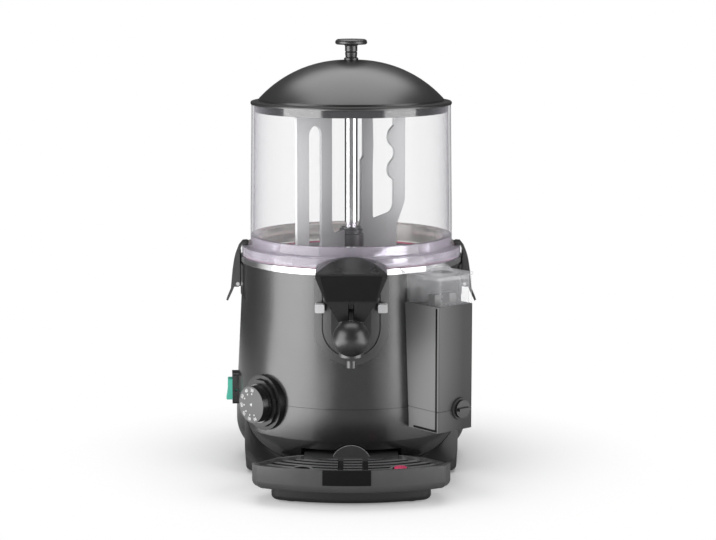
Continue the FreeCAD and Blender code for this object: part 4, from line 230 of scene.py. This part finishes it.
# %% Wrap a material
class Finish(Tree):
    """One material, with what is the same all over set on its Principled shader."""

    made = []

    def __init__(self, name, **constants):
        self.material = bpy.data.materials.new(name)
        self.material.use_nodes = True
        super().__init__(self.material.node_tree)
        self.shader = self.tree.nodes["Principled BSDF"]
        for socket, value in constants.items():
            self.set(socket.replace("_", " "), value)
        Finish.made.append(name)

    def set(self, socket, value):
        plug(self.tree, self.shader.inputs[socket], opaque(value))

    def relief(self, height, depth):
        """Raises the surface by that height pattern, to the depth given in metres."""
        self.set("Normal", self.node("ShaderNodeBump", {}, {"Height": height, "Distance": depth}))


print("finishes are ready")


# %% [markdown]
# ## The floor
# The floor is white paper. It takes the machine's soft shadow close by and turns into pure white further
# out, by mixing the paper with a plain white glow. A black machine mirrors its floor too, and would look
# grey all over above a floor that glows everywhere. So a glossy ray sees a darker floor: paper that stays
# paper for longer, with a painted shadow under the machine, and beyond it one bright ring, which fades away
# behind the machine.

# %% Lay the floor
FLOOR_RADIUS = 14
PAPER_TONE = 0.86
# painted shadow: the mirrored paper is painted darker under the machine than away from it
PAINTED_SHADOW_TONE, FAR_TONE = 0.25, 0.6        # the mirrored paper, under the machine and away from it
NEAR_TO, FAR_FROM = 0.28, 0.42

bpy.ops.mesh.primitive_circle_add(vertices=96, radius=FLOOR_RADIUS, fill_type="NGON", location=(0, 0, 0))
floor = bpy.context.object
floor.name = "paper_floor"

paper = Finish("white_paper", Roughness=0.9)
paper.set("Specular IOR Level", 0.1)
mirrored = paper.ray("Is Glossy Ray")
away = paper.length(paper.place())
mirrored_paper = PAINTED_SHADOW_TONE + (FAR_TONE - PAINTED_SHADOW_TONE) * paper.past(away, NEAR_TO, FAR_FROM - NEAR_TO)
paper.set("Base Color", paper.between(mirrored, grey(PAPER_TONE), mirrored_paper))
print("floor", 2 * FLOOR_RADIUS, "m across")

# %% Let the floor fade to white
SHADOW_FROM, SHADOW_TO = 0.12, 0.34    # the camera sees the paper turn white between these
GLOW_FROM, GLOW_TO = 0.7, 1.1          # and a mirror sees it turn to glow between these
INNER_TONE, OUTER_TONE = 0.2, 0.22     # the mirrored glow inside the bright ring and outside it
RING_START, RING_FULL = 1.12, 1.28
RING_FADES, RING_END = 1.84, 2.08
REAR_DIMMING = 0.85
BACKWARDS = (0, 1, 0)

seen_fade = paper.past(away, SHADOW_FROM, SHADOW_TO - SHADOW_FROM)
mirror_fade = paper.past(away, GLOW_FROM, GLOW_TO - GLOW_FROM)
fade = seen_fade + mirrored * (mirror_fade - seen_fade)

ring_rises = paper.past(away, RING_START, RING_FULL - RING_START)
ring_falls = paper.past(away, RING_FADES, RING_END - RING_FADES)
bright_ring = INNER_TONE + (1 - INNER_TONE) * ring_rises - (1 - OUTER_TONE) * ring_falls
behind = paper.past(paper.along(BACKWARDS), 0.1, 0.5)
reflected = bright_ring * (1 - REAR_DIMMING * behind)
glow = 1 - mirrored * (1 - reflected)

white = paper.node("ShaderNodeEmission", {}, {"Color": (1, 1, 1, 1), "Strength": glow})
shaded_paper = Wire(paper.tree, paper.shader.outputs[0])
surface = paper.node("ShaderNodeMixShader", {}, {0: fade, 1: shaded_paper, 2: white})
plug(paper.tree, paper.tree.nodes["Material Output"].inputs["Surface"], surface)
floor.data.materials.append(paper.material)
print("pure white from", SHADOW_TO, "m, and in mirrors from", RING_FULL, "m")


# %% [markdown]
# ## The lamps
# Two tall soft boxes stand left and right of the camera, and draw the two broad bright bands on the round
# casing with a dark gap between them. The casing and the plastic below it mirror what is low down, so a
# card of light lies on the floor under each soft box and carries its band on downwards. A fifth lamp hangs
# overhead for the dome. Each lamp is hidden from the camera, but not from the surfaces that mirror it.

# %% Hang the lamps
CARD_LIFT = 0.006                      # how far a card lies above the floor


def soft_box(name, place, aim, size, power):
    """A rectangular lamp at a place, turned to face a point."""
    light = bpy.data.lights.new(name, "AREA")
    light.shape = "RECTANGLE"
    light.size, light.size_y = size
    light.energy = power
    lamp = bpy.data.objects.new(name, light)
    lamp.location = place
    lamp.rotation_euler = (Vector(aim) - Vector(place)).to_track_quat("-Z", "Y").to_euler()
    lamp.visible_camera = False
    scene.collection.objects.link(lamp)
    print(name, power, "W")


def low_card(name, x, y, side, power):
    """A square lamp that lies on the floor and faces straight up."""
    soft_box(name, (x, y, CARD_LIFT), (x, y, 1), (side, side), power)


casing_middle = (0, VESSEL_Y, 0.50)
dome_middle = (0, VESSEL_Y, 0.42)
soft_box("left_soft_box", (-1.13, -0.63, 0.56), casing_middle, size=(1.25, 1.1), power=17)
low_card("left_low_card", -0.76, -0.48, side=1.0, power=11.5)
soft_box("right_soft_box", (1.12, -0.63, 0.56), casing_middle, size=(1.0, 1.1), power=11.5)
low_card("right_low_card", 0.80, -0.52, side=0.9, power=7)
soft_box("top_soft_box", (0, 0.40, 1.68), dome_middle, size=(1.6, 1.7), power=21)


# %% [markdown]
# ## The world
# The camera and clear plastic see a world of strength 1, which is plain white. For every other surface the
# world is a dim fill, and in mirrors it is nearly dark, so that black paint stays black.

# %% Set the world
WORLD_FILL = 0.25
MIRRORED_WORLD = 0.06

world = bpy.data.worlds.new("studio")
world.use_nodes = True
scene.world = world
studio = Tree(world.node_tree)
seen = studio.ray("Is Camera Ray") + studio.ray("Is Transmission Ray")
strength = WORLD_FILL + (1 - WORLD_FILL) * seen
strength = strength - (WORLD_FILL - MIRRORED_WORLD) * studio.ray("Is Glossy Ray")
background = world.node_tree.nodes["Background"]
plug(studio.tree, background.inputs["Strength"], strength)
background.inputs["Color"].default_value = (1, 1, 1, 1)
scene.view_settings.view_transform = "Standard"
print("world fill", WORLD_FILL, "and", MIRRORED_WORLD, "in mirrors")


# %% [markdown]
# ## Black finishes
# Nearly every outside piece is black, so the black ones must differ in gloss. The casing is powder coated
# metal: satin, with a very fine grain, and slow changes of gloss where hands have wiped it. The stand, the
# tray and the latches are moulded plastic, a little duller and greyer. One function makes them all, since
# they share one recipe: a dark tone, a gloss that wanders with a soft noise, and a fine bump. Shine is how
# strongly the surface mirrors. Gloss is its roughness: the lower the number, the sharper the mirror.

# %% Black finishes
def satin_black(name, tone, gloss, grain, depth, shine=1.0):
    """Black paint or plastic: a dark tone, a gloss that wanders a little, and a fine even grain."""
    finish = Finish(name, IOR=1.5)
    finish.set("Specular IOR Level", shine)
    dust = finish.noise(90, 4.0)
    finish.set("Base Color", finish.between(dust, (tone, tone, tone * 1.05), grey(tone * 1.5)))
    finish.set("Roughness", gloss + 0.07 * (finish.noise(28) - 0.5))
    finish.relief(finish.noise(grain, 1.0), depth)
    return finish


powder_coat = satin_black("powder_coat", tone=0.010, gloss=0.24, grain=900, depth=0.00003)
moulded_black = satin_black("moulded_black", tone=0.014, gloss=0.33, grain=1400, depth=0.00004)
hood_black = satin_black("hood_black", tone=0.012, gloss=0.27, grain=700, depth=0.00002, shine=0.35)
tray_black = satin_black("tray_black", tone=0.04, gloss=0.30, grain=1400, depth=0.00004)
collar_black = satin_black("collar_black", tone=0.010, gloss=0.28, grain=1500, depth=0.00002, shine=0.45)
ball_black = satin_black("ball_black", tone=0.012, gloss=0.34, grain=1500, depth=0.00003, shine=0.7)
gloss_black = satin_black("gloss_black", tone=0.012, gloss=0.12, grain=60, depth=0.00002)
bare_plate = satin_black("bare_plate", tone=0.004, gloss=0.45, grain=1800, depth=0.00001, shine=0.2)
black_rubber = satin_black("black_rubber", tone=0.02, gloss=0.75, grain=700, depth=0.0001)
print(len(Finish.made), "finishes so far")


# %% [markdown]
# ## The glossy skirt of the lid
# The lid is satin outside, but the skirt that hangs into the bowl is as glossy as its mould left it, so it
# mirrors the soft boxes as sharp pale blocks. A second material slot would need a split mesh, so the finish
# asks how high a point lies instead, and changes its gloss at the rim.

# %% The lid's skirt
UP = (0, 0, 1)
LID_RIM = 0.3935
SKIRT_GLOSS, LID_GLOSS = 0.06, 0.33

lid_black = satin_black("lid_black", tone=0.014, gloss=LID_GLOSS, grain=1400, depth=0.00004)
above_rim = lid_black.past(lid_black.along(UP), LID_RIM, 0.0005)
lid_black.set("Roughness", SKIRT_GLOSS + (LID_GLOSS - SKIRT_GLOSS) * above_rim)
lid_black.set("Coat Weight", 1 - above_rim)
lid_black.set("Base Color", lid_black.between(above_rim, grey(0.004), grey(0.016)))
print("the lid is glossy below", LID_RIM, "m")


# %% [markdown]
# ## The painted light on the water filler
# The filler is a tall box set at an angle. Its left side is painted a paler tone than its front, as painted
# light, and the front is painted darker again from left to right, as painted shade. A ramp over the
# distance across the box gives all three tones.

# %% The filler's side
FILLER_TURN = math.radians(40)         # the filler faces right of the front
FILLER_SIDEWAYS = (math.cos(FILLER_TURN), math.sin(FILLER_TURN), 0)
FILLER_HALF_WIDTH = 0.025

filler_painted_light = satin_black("filler_painted_light", tone=0.10, gloss=0.42, grain=1200, depth=0.00003, shine=0.35)
across = filler_painted_light.along(FILLER_SIDEWAYS) / (2 * FILLER_HALF_WIDTH) + 0.5
# painted light and shade: the pale left side and the front that darkens to the right are painted
painted_lit_side, painted_front_light, painted_front_shade = (0.01, 0.24), (0.03, 0.085), (0.7, 0.02)
filler_painted_light.set("Base Color", filler_painted_light.ramp(across, painted_lit_side, painted_front_light, painted_front_shade))
print("the filler's paler side lies", FILLER_HALF_WIDTH, "m left of its middle")


# %% [markdown]
# ## The grille's painted highlight
# The tops of the grille's ribs are painted a paler, duller grey than the gaps between them: a painted
# highlight for the light that falls on them. The finish tells them apart by height alone, and a coarse
# noise breaks the painted highlight up.

# %% Grille with a painted highlight
RIB_TOP = 0.031
RIB_PAINTED_HIGHLIGHT_FROM = RIB_TOP - 0.0006

grille_black = satin_black("grille_black", tone=0.012, gloss=0.35, grain=1200, depth=0.00003)
# painted highlight: the rib tops are painted paler where light falls on them
rib_painted_highlight = grille_black.past(grille_black.along(UP), RIB_PAINTED_HIGHLIGHT_FROM, 0.0004)
rib_painted_highlight = rib_painted_highlight * (0.75 + 0.5 * grille_black.noise(45, 3.0))
grille_black.set("Base Color", grille_black.between(rib_painted_highlight, grey(0.012), (0.13, 0.13, 0.135)))
print("ribs rubbed above", RIB_PAINTED_HIGHLIGHT_FROM, "m")


# %% [markdown]
# ## The two-tone dial
# The dial is one black knob with a grey printed disc on its end. Here too the material itself asks how far
# out along the dial's own axis a point lies: the last tenth of a millimetre is the disc. The disc stops
# short of the rim, which stays black.

# %% Two-tone dial
DIAL_TURN = math.radians(313)          # the dial and the switch face left of the front
DIAL_OUTWARDS = (math.sin(DIAL_TURN), -math.cos(DIAL_TURN), 0)
DIAL_FACE = 0.147
DISC_DEPTH = 0.0001
KNOB_GLOSS, DISC_GLOSS = 0.2, 0.45

dial_grey = satin_black("dial_grey", tone=0.014, gloss=KNOB_GLOSS, grain=1500, depth=0.00003)
on_face = dial_grey.past(dial_grey.along(DIAL_OUTWARDS), DIAL_FACE - 2 * DISC_DEPTH, DISC_DEPTH)
dial_grey.set("Base Color", dial_grey.between(on_face, grey(0.012), (0.030, 0.030, 0.032)))
dial_grey.set("Roughness", KNOB_GLOSS + (DISC_GLOSS - KNOB_GLOSS) * on_face)
print("dial disc at", DIAL_FACE, "m from the axis")


# %% [markdown]
# ## Metals
# Sheet steel keeps the fine lines of the grinding belt. Stretching a noise along one direction gives those
# lines, which vary the tone a little and widen the gloss. The rim, the rod and the pins are polished.

# %% Metals
def metal(name, colour, gloss, lines):
    """Bare metal with fine lines along one direction, which spread the gloss."""
    finish = Finish(name, Metallic=1.0)
    brushed = finish.noise(1.0, 3.0, finish.stretched(lines))
    finish.set("Base Color", finish.between(brushed, tuple(0.9 * c for c in colour), colour))
    finish.set("Roughness", gloss + 0.1 * brushed)
    finish.relief(brushed, 0.00001)
    return finish


brushed_steel = metal("brushed_steel", (0.62, 0.62, 0.63), gloss=0.22, lines=(60, 60, 3000))
polished_steel = metal("polished_steel", (0.86, 0.86, 0.87), gloss=0.05, lines=(400, 400, 40))
zinc_plate = metal("zinc_plate", (0.50, 0.51, 0.53), gloss=0.32, lines=(300, 300, 300))
drawn_copper = metal("drawn_copper", (0.72, 0.40, 0.25), gloss=0.25, lines=(900, 900, 60))
print(len(Finish.made), "finishes so far")


# %% [markdown]
# ## Clear walls
# Clear walls could be real refracting plastic, but light then reaches the mixer only as noisy caustics. The
# bowl's wall and the filler's window are thin, so each is a film instead: nearly invisible square on, and a
# grey line where it is seen on edge, which Layer Weight tells.

# %% Clear walls
def clear_film(name, edge_tone, facing, edge, sharpness):
    """A thin clear wall: nearly nothing seen square on, and a grey line seen on edge."""
    finish = Finish(name, Base_Color=edge_tone, Roughness=0.06)
    finish.set("Specular IOR Level", 0.35)
    slant = finish.node("ShaderNodeLayerWeight", {}, {"Blend": 0.5}, "Facing")
    finish.set("Alpha", facing + (edge - facing) * slant ** sharpness)
    return finish


bowl_film = clear_film("clear_bowl", (0.36, 0.35, 0.38), facing=0.05, edge=0.85, sharpness=4)
box_film = clear_film("clear_box", (0.72, 0.72, 0.74), facing=0.09, edge=0.75, sharpness=3)
print(len(Finish.made), "finishes so far")


# %% [markdown]
# ## The bowl's thick foot
# The foot ring is thick and bends what is behind it, so it does refract, and it has the faint violet of
# thick clear plastic. Its rear half is looked at through the bowl and lets more light by, so it is painted
# paler and warmer, as painted light.

# %% The bowl's thick foot
VIOLET_CLEAR, REAR_PAINTED_LIGHT = (0.68, 0.64, 0.72), (0.97, 0.95, 0.92)

ring_clear = Finish("clear_ring", Roughness=0.10, IOR=1.46)
ring_clear.set("Specular IOR Level", 0.3)
ring_clear.set("Transmission Weight", 0.72)
painted_light_rear = ring_clear.past(ring_clear.along(BACKWARDS), -0.01, 0.05)
# painted light: the rear half's paler, warmer tint stands in for the light coming through the bowl
ring_clear.set("Base Color", ring_clear.between(painted_light_rear, VIOLET_CLEAR, REAR_PAINTED_LIGHT))
ring_clear.relief(ring_clear.noise(40), 0.0004)
print(len(Finish.made), "finishes so far")


# %% [markdown]
# ## White and coloured plastics
# These are plain moulded parts. A slow noise shifts the tone by a few parts in a hundred, as moulded plastic
# does where it flowed and cooled, and a fine bump stands for the grain of the mould.

# %% White and coloured plastics
def plain_plastic(name, colour, gloss, grain=800, depth=0.00002):
    """One moulded colour that shifts slowly, with a fine grain."""
    finish = Finish(name)
    shade = finish.noise(25, 3.0)
    finish.set("Base Color", finish.between(shade, tuple(0.92 * c for c in colour), colour))
    finish.set("Roughness", gloss + 0.08 * (finish.noise(60) - 0.5))
    finish.relief(finish.noise(grain, 1.0), depth)
    return finish


white_nylon = plain_plastic("white_nylon", (0.62, 0.62, 0.63), gloss=0.42)
grey_nylon = plain_plastic("grey_nylon", (0.2, 0.2, 0.21), gloss=0.45)
red_silicone = plain_plastic("red_silicone", (0.62, 0.10, 0.20), gloss=0.5)
red_float = plain_plastic("red_float", (0.62, 0.04, 0.13), gloss=0.25)
green_lens = plain_plastic("green_lens", (0.09, 0.50, 0.38), gloss=0.15)
foam = plain_plastic("closed_cell_foam", (0.60, 0.60, 0.58), gloss=0.9, grain=500, depth=0.0004)
print(len(Finish.made), "finishes so far")


# %% [markdown]
# ## The mixer's painted shade
# The mixer's blades are white nylon too, but they are painted darker near the hub, as painted shade. The
# painted shade fades with the distance from the axis, whichever way the mixer turns.

# %% Blades with painted shade
PAINTED_SHADE_WITHIN, PAINTED_SHADE_ENDS = 0.02, 0.09

blade_white = plain_plastic("blade_white", (0.40, 0.40, 0.41), gloss=0.42)
# painted shade: the blades are darkened towards the hub and lighter further out
out_of_painted_shade = blade_white.past(blade_white.from_axis(), PAINTED_SHADE_WITHIN, PAINTED_SHADE_ENDS - PAINTED_SHADE_WITHIN)
blade_white.set("Base Color", blade_white.between(out_of_painted_shade, (0.24, 0.24, 0.245), (0.56, 0.56, 0.57)))
print("blades clean beyond", PAINTED_SHADE_ENDS, "m")


# %% [markdown]
# ## Which piece has which finish
# The record gives every piece a slot. One table turns slots into finishes, and a second, short one holds
# the few pieces whose surface differs from the others in their slot.

# %% Give the engineering pieces their finishes
FINISHES = {
    "casing_black": powder_coat,
    "black_plastic": moulded_black,
    "gloss_black": gloss_black,
    "clear": bowl_film,
    "stainless": brushed_steel,
    "bright_steel": polished_steel,
    "zinc_steel": zinc_plate,
    "white_plastic": white_nylon,
    "grey_plastic": grey_nylon,
    "red_rubber": red_silicone,
    "black_rubber": black_rubber,
    "foam": foam,
    "green_clear": green_lens,
    "red_plastic": red_float,
    "copper": drawn_copper,
}
OWN_FINISHES = {
    "filler_window": box_film,
    "filler_lid": box_film,
    "lid": lid_black,
    "tap_cover": hood_black,
    "tap_plate": bare_plate,
    "tray_plate": bare_plate,
    "tap_ball": ball_black,
    "thermostat_dial": dial_grey,
    "latch_brackets": moulded_black,
    "drip_tray": tray_black,
    "drip_grille": grille_black,
    "dial_collar": collar_black,
    "drain_knob": collar_black,
    "filler_box_base": filler_painted_light,
    "filler_box_upper": filler_painted_light,
    "mixer_blade_left": blade_white,
    "mixer_blade_right": blade_white,
}
for name, node in nodes.items():
    for slot in node.material_slots:
        slot.material = OWN_FINISHES.get(name, FINISHES[slot.material.name]).material
print(len(FINISHES), "slots,", len(OWN_FINISHES), "pieces of their own")


# %% [markdown]
# ## Making a piece
# Every new piece ends the same way: its place goes into its mesh, so that its object sits at the origin as
# the engineering pieces do, and it is told which body it rides on and which finish it wears.

# %% Finish a piece
def joined(parts):
    """Makes one object of several. The last one takes the others in."""
    bpy.ops.object.select_all(action="DESELECT")
    for part in parts:
        part.select_set(True)
    bpy.context.view_layer.objects.active = parts[-1]
    bpy.ops.object.join()
    return parts[-1]


def settle(piece, name, body, finish):
    """Writes the piece's place into its mesh, and gives it a name, a body and a finish."""
    bpy.ops.object.select_all(action="DESELECT")
    piece.select_set(True)
    bpy.context.view_layer.objects.active = piece
    bpy.ops.object.transform_apply(location=True, rotation=True, scale=True)
    piece.name = name
    piece.data.materials.clear()
    piece.data.materials.append(finish.material)
    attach(piece, body)
    print(name, len(piece.data.polygons), "faces on", body)
    return piece


# %% [markdown]
# ## The bowl
# The real bowl is turned smooth by its mould: one section swept round the axis. A Screw modifier or a spin
# would do, and so does extruding one circle of edges along the section, which is easy to read: each step
# copies the last ring, lifts it and resizes it. The last ring meets the first, and merging the two closes
# the shell. The wall and the foot ring are made as two pieces, because one is a film and the other refracts.

# %% Turn a section into a ring
WELD = 1e-6
CREASE = math.radians(30)              # a sharper edge than this stays sharp


def turned(section, steps=160):
    """A closed shell about the vessel's axis: a circle extruded along a section of (radius, height)."""
    radius, height = section[0]
    bpy.ops.mesh.primitive_circle_add(vertices=steps, radius=radius, location=(0, VESSEL_Y, height))
    bpy.ops.object.mode_set(mode="EDIT")
    for next_radius, next_height in section[1:] + section[:1]:
        bpy.ops.mesh.extrude_region_move(TRANSFORM_OT_translate={"value": (0, 0, next_height - height)})
        grow = next_radius / radius
        bpy.ops.transform.resize(value=(grow, grow, 1), center_override=(0, VESSEL_Y, next_height))
        radius, height = next_radius, next_height
    bpy.ops.mesh.select_all(action="SELECT")
    bpy.ops.mesh.remove_doubles(threshold=WELD)
    bpy.ops.mesh.normals_make_consistent(inside=False)
    bpy.ops.object.mode_set(mode="OBJECT")
    bpy.ops.object.shade_smooth_by_angle(angle=CREASE)
    return bpy.context.object


# %% The bowl's wall, up its outside, over the rim and down its inside
LEDGE = 0.249                          # the top of the foot ring, inside the bowl
wall_section = [
    (0.1113, LEDGE + 0.0005), (0.1112, 0.270), (0.1104, 0.325), (0.1096, 0.380), (0.1096, 0.3924),
    (0.1092, 0.393), (0.1070, 0.393), (0.1066, 0.3924), (0.1066, 0.380), (0.1074, 0.325),
    (0.1082, 0.270), (0.1083, LEDGE + 0.0005),
]
bowl_wall = settle(turned(wall_section), "bowl_wall", "machine", bowl_film)
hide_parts("bowl")

# %% The bowl's foot ring, from under its flange to the ledge inside
foot_section = [
    (0.1020, 0.2285), (0.1171, 0.2285), (0.1173, 0.2269), (0.1200, 0.2268), (0.1208, 0.2276),
    (0.1208, 0.2366), (0.1204, 0.2374), (0.1196, 0.2378), (0.1135, 0.2378), (0.1122, 0.2382),
    (0.1115, 0.2390), (0.1113, 0.2402), (0.1113, LEDGE), (0.1083, LEDGE + 0.0003),
    (0.1050, LEDGE - 0.0002), (0.1026, LEDGE - 0.0010), (0.1020, LEDGE - 0.0022),
]
bowl_ring = settle(turned(foot_section), "bowl_ring", "machine", ring_clear)
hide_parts("bowl")


# %% [markdown]
# ## Numbers on the dial
# The disc carries plain temperatures round its left half, each with a dot beneath it, and a small pointer
# at its middle. On the real dial they are printed. Here each is a thin raised mark, because a text object
# gives true letter shapes without an image: it is made a mesh, then turned into place on the disc.

# %% Place a mark on the dial
DIAL_HEIGHT = 0.077
MARK_RISE = 0.00012
print_white = plain_plastic("print_white", grey(0.60), gloss=0.5)
dial_frame = Matrix.Translation((0, VESSEL_Y, 0)) @ Matrix.Rotation(DIAL_TURN, 4, "Z")
marks = []


def on_dial(mark, radius, angle):
    """Puts a mark drawn flat at the origin on the disc, its foot towards the disc's middle."""
    across, up = radius * math.cos(angle), radius * math.sin(angle)
    place = Matrix.Translation((across, -DIAL_FACE, DIAL_HEIGHT + up))
    upright = Matrix.Rotation(math.radians(90), 4, "X")
    mark.matrix_world = dial_frame @ place @ upright @ Matrix.Rotation(angle - math.pi / 2, 4, "Z")
    marks.append(mark)


def dot(corners, radius):
    bpy.ops.mesh.primitive_cylinder_add(vertices=corners, radius=radius, depth=2 * MARK_RISE)
    return bpy.context.object


# %% Print the numbers and their dots
FIRST_ANGLE, ANGLE_STEP = 84, 35       # degrees, from the disc's right side
NUMBER_SIZE, NUMBER_RADIUS = 0.0048, 0.0158
STROKE_GAIN = 0.00006                  # how far each stroke is thickened
DOT_RADIUS, DOT_DISTANCE = 0.0009, 0.0118
POINTER_RADIUS = 0.0022

for order, number in enumerate(range(30, 100, 10)):
    angle = math.radians(FIRST_ANGLE + ANGLE_STEP * order)
    bpy.ops.object.text_add(radius=NUMBER_SIZE)
    digits = bpy.context.object.data
    digits.body = str(number)
    digits.align_x = digits.align_y = "CENTER"
    digits.extrude = MARK_RISE
    digits.offset = STROKE_GAIN
    bpy.ops.object.convert(target="MESH")
    on_dial(bpy.context.object, NUMBER_RADIUS, angle)
    on_dial(dot(16, DOT_RADIUS), DOT_DISTANCE, angle)
on_dial(dot(3, POINTER_RADIUS), 0.0, math.pi)
settle(joined(marks), "dial_marks", "dial", print_white)


# %% [markdown]
# ## The painted highlight on the arched tab
# The arched tab behind the tray catches a line of light along its rounded top. That line is a painted
# highlight: most of a fine pale torus with its lower part cut away. A curve with a round bevel would do as
# well.

# %% The painted highlight on the arched tab
ARCH_CENTRE = (0, VESSEL_Y - 0.1317, 0.0175)
ARCH_RADIUS = 0.0219
LINE_RADIUS = 0.00028
ARCH_CUT = 0.027                       # the height below which the torus is cut away
ARCH_CREASE = math.radians(40)

# painted highlight: a pale grey torus put where the tab's top edge catches light
painted_arch_highlight_grey = plain_plastic("painted_arch_highlight_grey", (0.30, 0.30, 0.31), gloss=0.35)
bpy.ops.mesh.primitive_torus_add(
    major_radius=ARCH_RADIUS, minor_radius=LINE_RADIUS, major_segments=96, minor_segments=8,
    location=ARCH_CENTRE, rotation=(math.radians(90), 0, 0))
arch_painted_highlight = bpy.context.object
bpy.ops.object.transform_apply(location=True, rotation=True)
bpy.ops.object.mode_set(mode="EDIT")
bpy.ops.mesh.select_all(action="SELECT")
bpy.ops.mesh.bisect(plane_co=(0, 0, ARCH_CUT), plane_no=UP, clear_inner=True, use_fill=True)
bpy.ops.object.mode_set(mode="OBJECT")
bpy.ops.object.shade_smooth_by_angle(angle=ARCH_CREASE)
settle(arch_painted_highlight, "arch_painted_highlight", "tray", painted_arch_highlight_grey)


# %% [markdown]
# ## The filler's painted shade lines
# The water filler shows a dark line of shade where its side meets its front and along the side's foot, made
# here as painted shade. It is two slim bars, each a cube set to its size with its edges rounded by a Bevel
# modifier.

# %% The filler's painted shade lines
EDGE_ROUNDING = 0.0001
filler_frame = Matrix.Translation((0, VESSEL_Y, 0)) @ Matrix.Rotation(FILLER_TURN, 4, "Z")


def bar(low, high):
    """A slim bar between two corners, each given as across, backwards and up in the filler's frame."""
    low, high = Vector(low), Vector(high)
    bpy.ops.mesh.primitive_cube_add(size=1)
    piece = bpy.context.object
    middle = Matrix.Translation((high + low) / 2)
    piece.matrix_world = filler_frame @ middle @ Matrix.Diagonal((*(high - low), 1))
    bpy.ops.object.transform_apply(location=True, rotation=True, scale=True)
    bpy.ops.object.modifier_add(type="BEVEL")
    rounding = piece.modifiers[0]
    rounding.width = EDGE_ROUNDING
    rounding.segments = 2
    bpy.ops.object.modifier_apply(modifier=rounding.name)
    return piece


# painted shade: black bars put where the shadow gaps at the filler's corner and foot fall
upright_bar = bar((-0.0251, -0.1698, 0.0575), (-0.0247, -0.1672, 0.189))
foot_bar = bar((-0.0251, -0.1698, 0.0565), (-0.0247, -0.1330, 0.0590))
settle(joined([upright_bar, foot_bar]), "filler_painted_shade", "machine", bare_plate)
